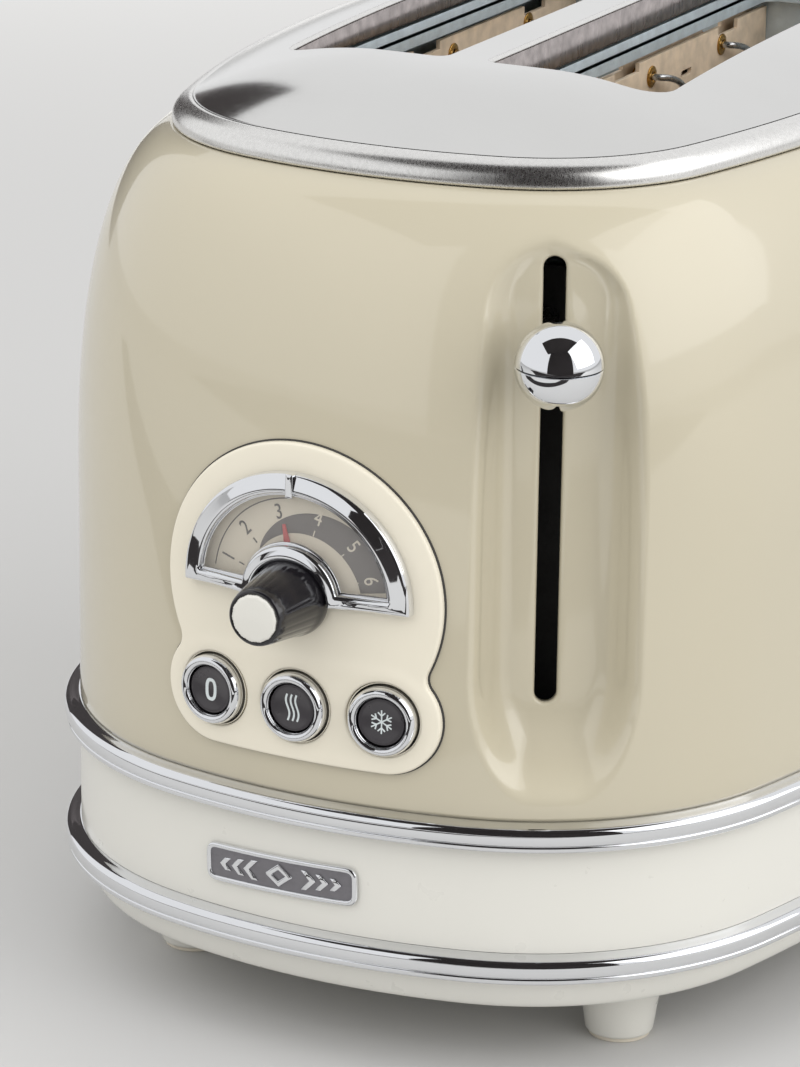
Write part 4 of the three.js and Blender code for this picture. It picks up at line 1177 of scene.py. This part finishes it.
def dial_knob():
    where = axes(PANEL_X, KNOB_FRONT, DIAL_Z, 0)
    length = 17.2
    flutes, depth = 22, 0.07

    def flute(turn, radius, height):
        """Shallow grooves that fade out towards both ends."""
        grip = max(0.0, min(1.0, (-height - 1.0) / 2.5)) * max(0.0, min(1.0, (height + length - 2.0) / 2.5))
        return -depth * grip * (0.5 + 0.5 * np.cos(turn * flutes)) ** 3

    section = soften([(0, -1.0), (5.2, -1.0), (5.2, -0.55), (5.55, -0.4), (5.95, -0.75), (6.35, -2.4),
                      (7.95, 3.2 - length), (8.5, 1.6 - length), (8.5, -length), (3.4, -length),
                      (3.4, 8 - length), (0, 8 - length)],
                     [0, 0.05, 0.1, 0.25, 0.4, 2.0, 1.5, 0.8, 0.5, 0.2, 0.2, 0], steps=5)
    dense = [section[0]]
    for start, end in zip(section, section[1:]):
        count = max(int(abs(end[1] - start[1]) / 0.9), 1)
        dense += [start + (end - start) * (i + 1) / count for i in range(count)]
    grip = lathe(dense, where, 12 * flutes, flute=flute)
    piece("dial_knob_grip", grip, "black", "shade_dial", nodes=["dial_knob"], crease=60)

    def worn(turn, radius, height):
        """The inlay's uneven edge."""
        return 0.11 * np.sin(turn * 17 + 1.0) * np.sin(turn * 31) if radius > 4.5 else 0 * turn

    cap = soften([(0, -0.9), (5.05, -0.9), (5.05, -0.35), (4.6, -0.06), (0, 0)], [0, 0.1, 0.2, 0.5, 0])
    inlay = lathe(cap, where, 128, flute=worn)
    piece("dial_knob_inlay", inlay, "ivory", "shade_dial", nodes=["dial_knob_cap"])


def buttons():
    ring_section = soften([(5.45, -6), (7.55, -6), (7.6, 1.4), (7.55, 2.9), (7.0, 3.85), (6.35, 4.05),
                           (5.75, 3.75), (5.6, 3.35), (5.45, 3.2)],
                          [0, 0.2, 0.5, 1.0, 0.7, 0.6, 0.3, 0.15, 0.1], True, 4)
    radius, top, hollow = 4.8, 2.92, 0.35
    face_section = [(0, -13), (2, -13), (2, -5.5), (5.15, -5.5), (5.15, 2.7), (5.0, 2.9), (radius, top)]
    face_section += [(radius * (1 - k / 8), top - hollow * (1 - (1 - k / 8) ** 2)) for k in range(1, 8)]
    face_section.append((0, top - hollow))
    for name, where in button_places():
        origin, right, up, out = where
        body = f"{name}_button"
        piece(f"{name}_button_bezel", lathe(ring_section, where, 80, closed=True), "chrome", body,
              nodes=[f"{name}_button_ring"], crease=60)
        piece(f"{name}_button_cap", lathe(face_section, where, 64), "button", body,
              nodes=[f"{name}_button_face"], crease=40)

        def on_face(flat, height):
            sag = hollow * (1 - (np.hypot(*flat.T) / radius) ** 2)
            return origin + np.column_stack([flat, top - sag + height]) @ (right, up, out)

        low, high = -0.1, 0.07
        icon = Form()
        if name == "cancel":
            turn = np.linspace(0, 2 * pi, 48, endpoint=False)
            across, along = np.cos(turn), np.sin(turn)
            loop = np.column_stack([np.sign(across) * np.abs(across) ** 0.8 * 1.45,
                                    np.sign(along) * np.abs(along) ** 0.75 * 2.5])
            icon.join(plate([loop, inset(loop, 0.75)], low, high, 0.03, on_face, 2.0, 1))
        elif name == "reheat":
            height = np.linspace(-2.9, 2.9, 26)
            for shift in (-1.1, 0, 1.1):
                wave = np.column_stack([shift - 0.42 * np.sin(height / 2.9 * pi * 0.95), height])
                icon.join(printed(*strip(wave, 0.42), low, high, on_face))
        else:
            for arm in range(6):
                lines = [[(0.0, 0), (1.3, 0), (2.6, 0)], [(1.3, 0), (1.65, 0.38), (2.05, 0.8)],
                         [(1.3, 0), (1.65, -0.38), (2.05, -0.8)]]
                for k, line in enumerate(lines):
                    spoke = turned(np.array(line, float), arm * 60 + 30)
                    icon.join(printed(*strip(spoke, 0.30), low, high + 0.01 * k, on_face))
        piece(f"{name}_button_icon", icon, "icon", body)


def strip(path, width):
    """The flat quads of a stroke with square ends."""
    path = np.array(path, float)
    side = leftwards(heading(path)) * width / 2
    count = len(path)
    faces = [(i, i + 1, count + i + 1, count + i) for i in range(count - 1)]
    return np.concatenate([path - side, path + side]), faces


def badge():
    """A plain bright frame round a grooved ground, with bars and a lozenge in place of a name."""
    def on_badge(flat, out):
        return on_front(turned(flat, 1.4) + (BADGE_X, BADGE_Z), out)

    outer = refine(box_loop(-18.4, 18.4, -4.3, 4.3, 2.6, 6), 2.0)
    inner = refine(box_loop(-17.2, 17.2, -3.1, 3.1, 1.4, 5), 2.0)
    form = plate([outer, inner], 0.3, 1.2, 0.5, on_badge, 2.0, 4)
    lozenge = refine(soften([(-3.4, 0), (0, -2.6), (3.4, 0), (0, 2.6)], 0.2, True, 3), 1.0)
    hollow = refine(soften([(-1.6, 0), (0, -1.2), (1.6, 0), (0, 1.2)], 0.1, True, 3), 1.0)
    form.join(plate([lozenge, hollow], 0.6, 1.15, 0.2, on_badge, 2.0, 2))
    for side in (-1, 1):
        for k, height in enumerate((2.2, 1.8, 1.4)):
            x = 5.2 + k * 3.4
            far = x + 1.5
            chevron = np.array([(x, -height), (far, -height), (far + height, 0), (far, height), (x, height),
                                (x + height, 0)])
            chevron = chevron if side > 0 else (chevron * (-1, 1))[::-1]
            form.join(plate([refine(chevron, 2.0)], 0.6, 1.1, 0.18, on_badge, 2.0, 2))
    piece("badge_frame", form, "chrome", nodes=["badge_plate"], crease=60)
    ground = inset(inner, -0.3)
    piece("badge_ground", plate([ground], 0.3, 0.75, 0.05, on_badge, 1.5, 1), "badge")


# ---------------------------------------------------------------- lift lever
def lever():
    centre = np.append(CORNER_CENTRE, 0) + LEVER_OUT * BALL_REACH
    where = upright(centre[0], centre[1], BALL_Z)
    half_gap = 0.12
    dome_arc = polar(BALL_RADIUS, np.linspace(0.03, pi / 2, 26))
    for name, side in (("upper", 1), ("lower", -1)):
        section = [(0, half_gap * side), (8.6, half_gap * side), (8.95, (half_gap + 0.03) * side)]
        section += [(r, h * side) for r, h in dome_arc[:-1]] + [(0, BALL_RADIUS * side)]
        piece(f"lever_ball_{name}_half", lathe(section, where, 96), "chrome", "lift",
              nodes=[f"lever_ball_{name}"], crease=50)
    core = lathe([(0, -0.4), (8.3, -0.4), (8.3, 0.4), (0, 0.4)], where, 48)
    piece("lever_ball_joint", core, "black", "lift")
    origin = np.append(CORNER_CENTRE, BALL_Z)
    section = box_loop(-1.7, 1.7, -3.2, 3.2, 0.5, 3)
    across, upwards = np.outer(section[:, 0], LEVER_RIGHT), np.outer(section[:, 1], [0, 0, 1])
    rows = [origin + LEVER_OUT * reach + (across + upwards) * size
            for reach, size in ((17.2, 0.9), (17.6, 1), (BALL_REACH - 4, 1))]
    piece("lever_stem_bar", lofted(rows, True, caps=True), "steel", "lift", nodes=["lever_stem"])


# ---------------------------------------------------------------- inside the slots
def chassis_top():
    border = refine(box_loop(-58, 58, -86, 86, 3, 4), 5)
    wells = [slot_loop(side, 1.4) for side in (1, -1)]
    form = plate([border, *wells], 192.5, 193.5, 0.15, at_height, 8, 2)
    collar = [(1.4, 190.0), (1.4, 195.1), (1.6, 195.4), (2.0, 195.4), (2.2, 195.1), (2.2, 190.0)]
    for side in (1, -1):
        form.join(lofted([at_height(slot_loop(side, grow), z) for grow, z in collar], True, wrap=True))
    piece("chassis_top_sheet", form, "galvanised", nodes=["chassis_top_plate"], crease=40)


def slot_painted_shade():
    """A dark sheet behind the lever's slot: painted shade that hides the works there."""
    piece("lever_slot_painted_shade_sheet", block(22, 48, -114.6, -114.0, 36, 172, 0.1), "rubber")


EYELETS = (-70, -28, 14, 56)         # along Y, where each guide wire hooks into its heater board


def heater_board(name, x, facing):
    """A mica board wound with flat wire; facing is the side that looks into the bread slot."""
    low, high = 52.0, 188.0

    def place(flat, out):
        return np.column_stack([x + facing * (out - 0.5), flat])

    top = [(84.5, high), (66, high), (66, high - 2.2), (54, high - 2.2), (54, high), (7, high),
           (7, high - 2), (-7, high - 2), (-7, high), (-54, high), (-54, high - 2.2), (-66, high - 2.2),
           (-66, high), (-84.5, high)]
    border = refine(np.array([(-84.5, low), (84.5, low), *top]), 6)
    holes = [circle(y, high - 4.4, 1.6, 20) for y in EYELETS]
    holes += [box_loop(y - 3, y + 3, high - 8, high - 6.6, 0.6, 3) for y in (-49, -7, 35)]
    form = plate([border, *holes], 0, 1.0, 0.08, place, 9, 1)
    piece(f"{name}_sheet", form, "mica", nodes=[name])
    wire = Form()
    for i in range(13):
        z = 66 + i * 8.6
        for out in (1.03, -0.19):
            near, far = sorted((x + facing * (out - 0.5), x + facing * (out - 0.34)))
            wire.join(block(near, far, -82, 82, z - 0.7, z + 0.7, 0.05))
    piece(f"{name}_winding", wire, "steel")
    eyelet = soften([(1.0, -0.3), (1.5, -0.3), (1.5, 1.0), (2.6, 1.0), (2.6, 1.35), (1.4, 1.6), (1.0, 1.4)],
                    [0.1, 0, 0, 0.2, 0.3, 0.3, 0.1], True, 3)
    rivets = Form()
    for y in EYELETS:
        where = np.array([(x - facing * 0.5, y, high - 4.4), (0, 1, 0), (0, 0, 1), (facing, 0, 0)], float)
        rivets.join(lathe(eyelet, where, 28, closed=True))
    piece(f"{name}_eyelets", rivets, "brass")


def bread_guide(name, x, facing):
    """Bent upright wires between two rails; facing points from the wires to their heater board."""
    form = Form()
    for z in (62.8, 150.0):
        form.join(tube([(x, y, z) for y in np.linspace(-76, 76, 40)], 0.8, 12))
    for y in EYELETS:
        # each wire stands upright and then hooks over, along a cubic curve, into its eyelet
        path = [(x, y + 15, z) for z in np.linspace(61.8, 172.0, 22)]
        marks = np.array([(x, y + 15, 172), (x, y + 15, 182), (x - facing * 0.4, y, 183.6),
                          (x + facing * 1.8, y, 183.6)])
        for t in np.linspace(0.06, 1, 14):
            weights = np.array([(1 - t) ** 3, 3 * t * (1 - t) ** 2, 3 * t * t * (1 - t), t**3])
            path.append(tuple(weights @ marks))
        path.append((x + facing * 3.4, y, 183.6))
        form.join(tube(path, 0.8, 12))
    piece(f"{name}_wires", form, "steel", name.replace("bread_", ""), nodes=[name])


def bread_rack(name, side):
    x = side * SLOT_MIDDLE
    form = block(x - 1.5, x + 1.5, -94.6, 92, 118, 123, 0.4)
    for i in range(-3, 4):
        y = i * 23
        path = [(x + s * 9, y, 123.2 + 0.9 * (abs(s) > 0.98)) for s in np.linspace(-1, 1, 30)]
        form.join(tube(path, 0.9, 10))
    piece(f"{name}_bars", form, "steel", "lift", nodes=[name])


def lift_spring():
    """A wound spring, drawn as a fixed coil; in the toaster the lift stretches it."""
    turns, bottom, top = 13, 119.6, 189.8
    x, y, radius = 16, -100, 3.1
    turn = np.linspace(0, 2 * pi * turns, turns * 22)
    height = bottom + (top - bottom) * turn / turn[-1]
    path = np.column_stack([polar(radius, turn) + (x, y), height])
    made = piece("lift_spring_coil", tube(path, 0.55, 8), "steel", nodes=["lift_spring"])
    made.parent = None
    ends = [(x * MM, (y + SHIFT) * MM, z * MM) for z in (top, bottom)]
    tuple(ends[0])
    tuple(ends[1])
    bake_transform(made)


def guide_rod():
    section = soften([(0, 20), (2.5, 20), (2.5, 192.2), (0, 192.2)], [0, 0.5, 0.5, 0])
    piece("guide_rod_bar", lathe(section, upright(0, -101), 36), "steel", nodes=["guide_rod"])


# ---------------------------------------------------------------- crumb tray
def crumb_tray():
    form = Form()
    half, low, high = TRAY_HALF_WIDTH, TRAY_Z, TRAY_Z + TRAY_HEIGHT
    front = refine(box_loop(-half, half, low, high, 1.2, 4), 2.5)
    form.join(plate([front], -2.5, 0.0, 0.5, on_rear, 2.5, 4))
    form.join(block(-half + 0.2, half - 0.2, -78, 145.5, low, low + 1, 0.3))
    for side in (-1, 1):
        x = side * (half - 0.5)
        form.join(block(x - 0.5, x + 0.5, -78, 145.0, low, low + 7, 0.25))
    form.join(block(-half, half, -78, -77, low, low + 7, 0.25))
    pull = soften([(-16, 149.5), (16, 149.5), (15, 154.0), (-15, 154.0)], 1.2, True, 5)
    levels = ((0.6, high - 3.0), (0, high - 2.5), (0, high - 1.5), (0.6, high - 1.0))
    form.join(lofted([at_height(inset(pull, deep), z) for deep, z in levels], True, caps=True))
    piece("crumb_tray_drawer", form, "ivory", "crumb_drawer", nodes=["crumb_tray"])


# ---------------------------------------------------------------- assembly
make_camera()
make_studio()
outer_shell()
top_cover()
trim_band("upper_band_trim", UPPER_BAND_Z, "upper_trim_band")
trim_band("lower_band_trim", LOWER_BAND_Z, "lower_trim_band")
base_band()
base_pan()
feet()
cord_gland()
control_panel()
dial()
dial_print()
dial_pointer()
dial_knob()
buttons()
badge()
lever()
chassis_top()
slot_painted_shade()
for side_name, sign in (("left", -1), ("right", 1)):
    heater_board(f"heater_board_outer_{side_name}", sign * OUTER_BOARD_X, -sign)
    heater_board(f"heater_board_inner_{side_name}", sign * INNER_BOARD_X, sign)
    bread_guide(f"bread_guide_outer_{side_name}", sign * OUTER_GUIDE_X, sign)
    bread_guide(f"bread_guide_inner_{side_name}", sign * INNER_GUIDE_X, -sign)
    bread_rack(f"bread_rack_{side_name}", sign)
lift_spring()
guide_rod()
crumb_tray()

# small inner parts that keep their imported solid, with a better material
KEPT_NODES = {
    "dial_shaft": "steel", "shade_potentiometer": "case", "control_board": "board",
    "hold_down_magnet": "winding", "lift_carriage": "galvanised", "chassis_front_plate": "galvanised",
    "chassis_rear_plate": "galvanised", "reflector_left": "galvanised", "reflector_right": "galvanised",
}
for node, look in KEPT_NODES.items():
    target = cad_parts[node].data
    target.materials.clear()
    target.materials.append(LOOKS[look][1])
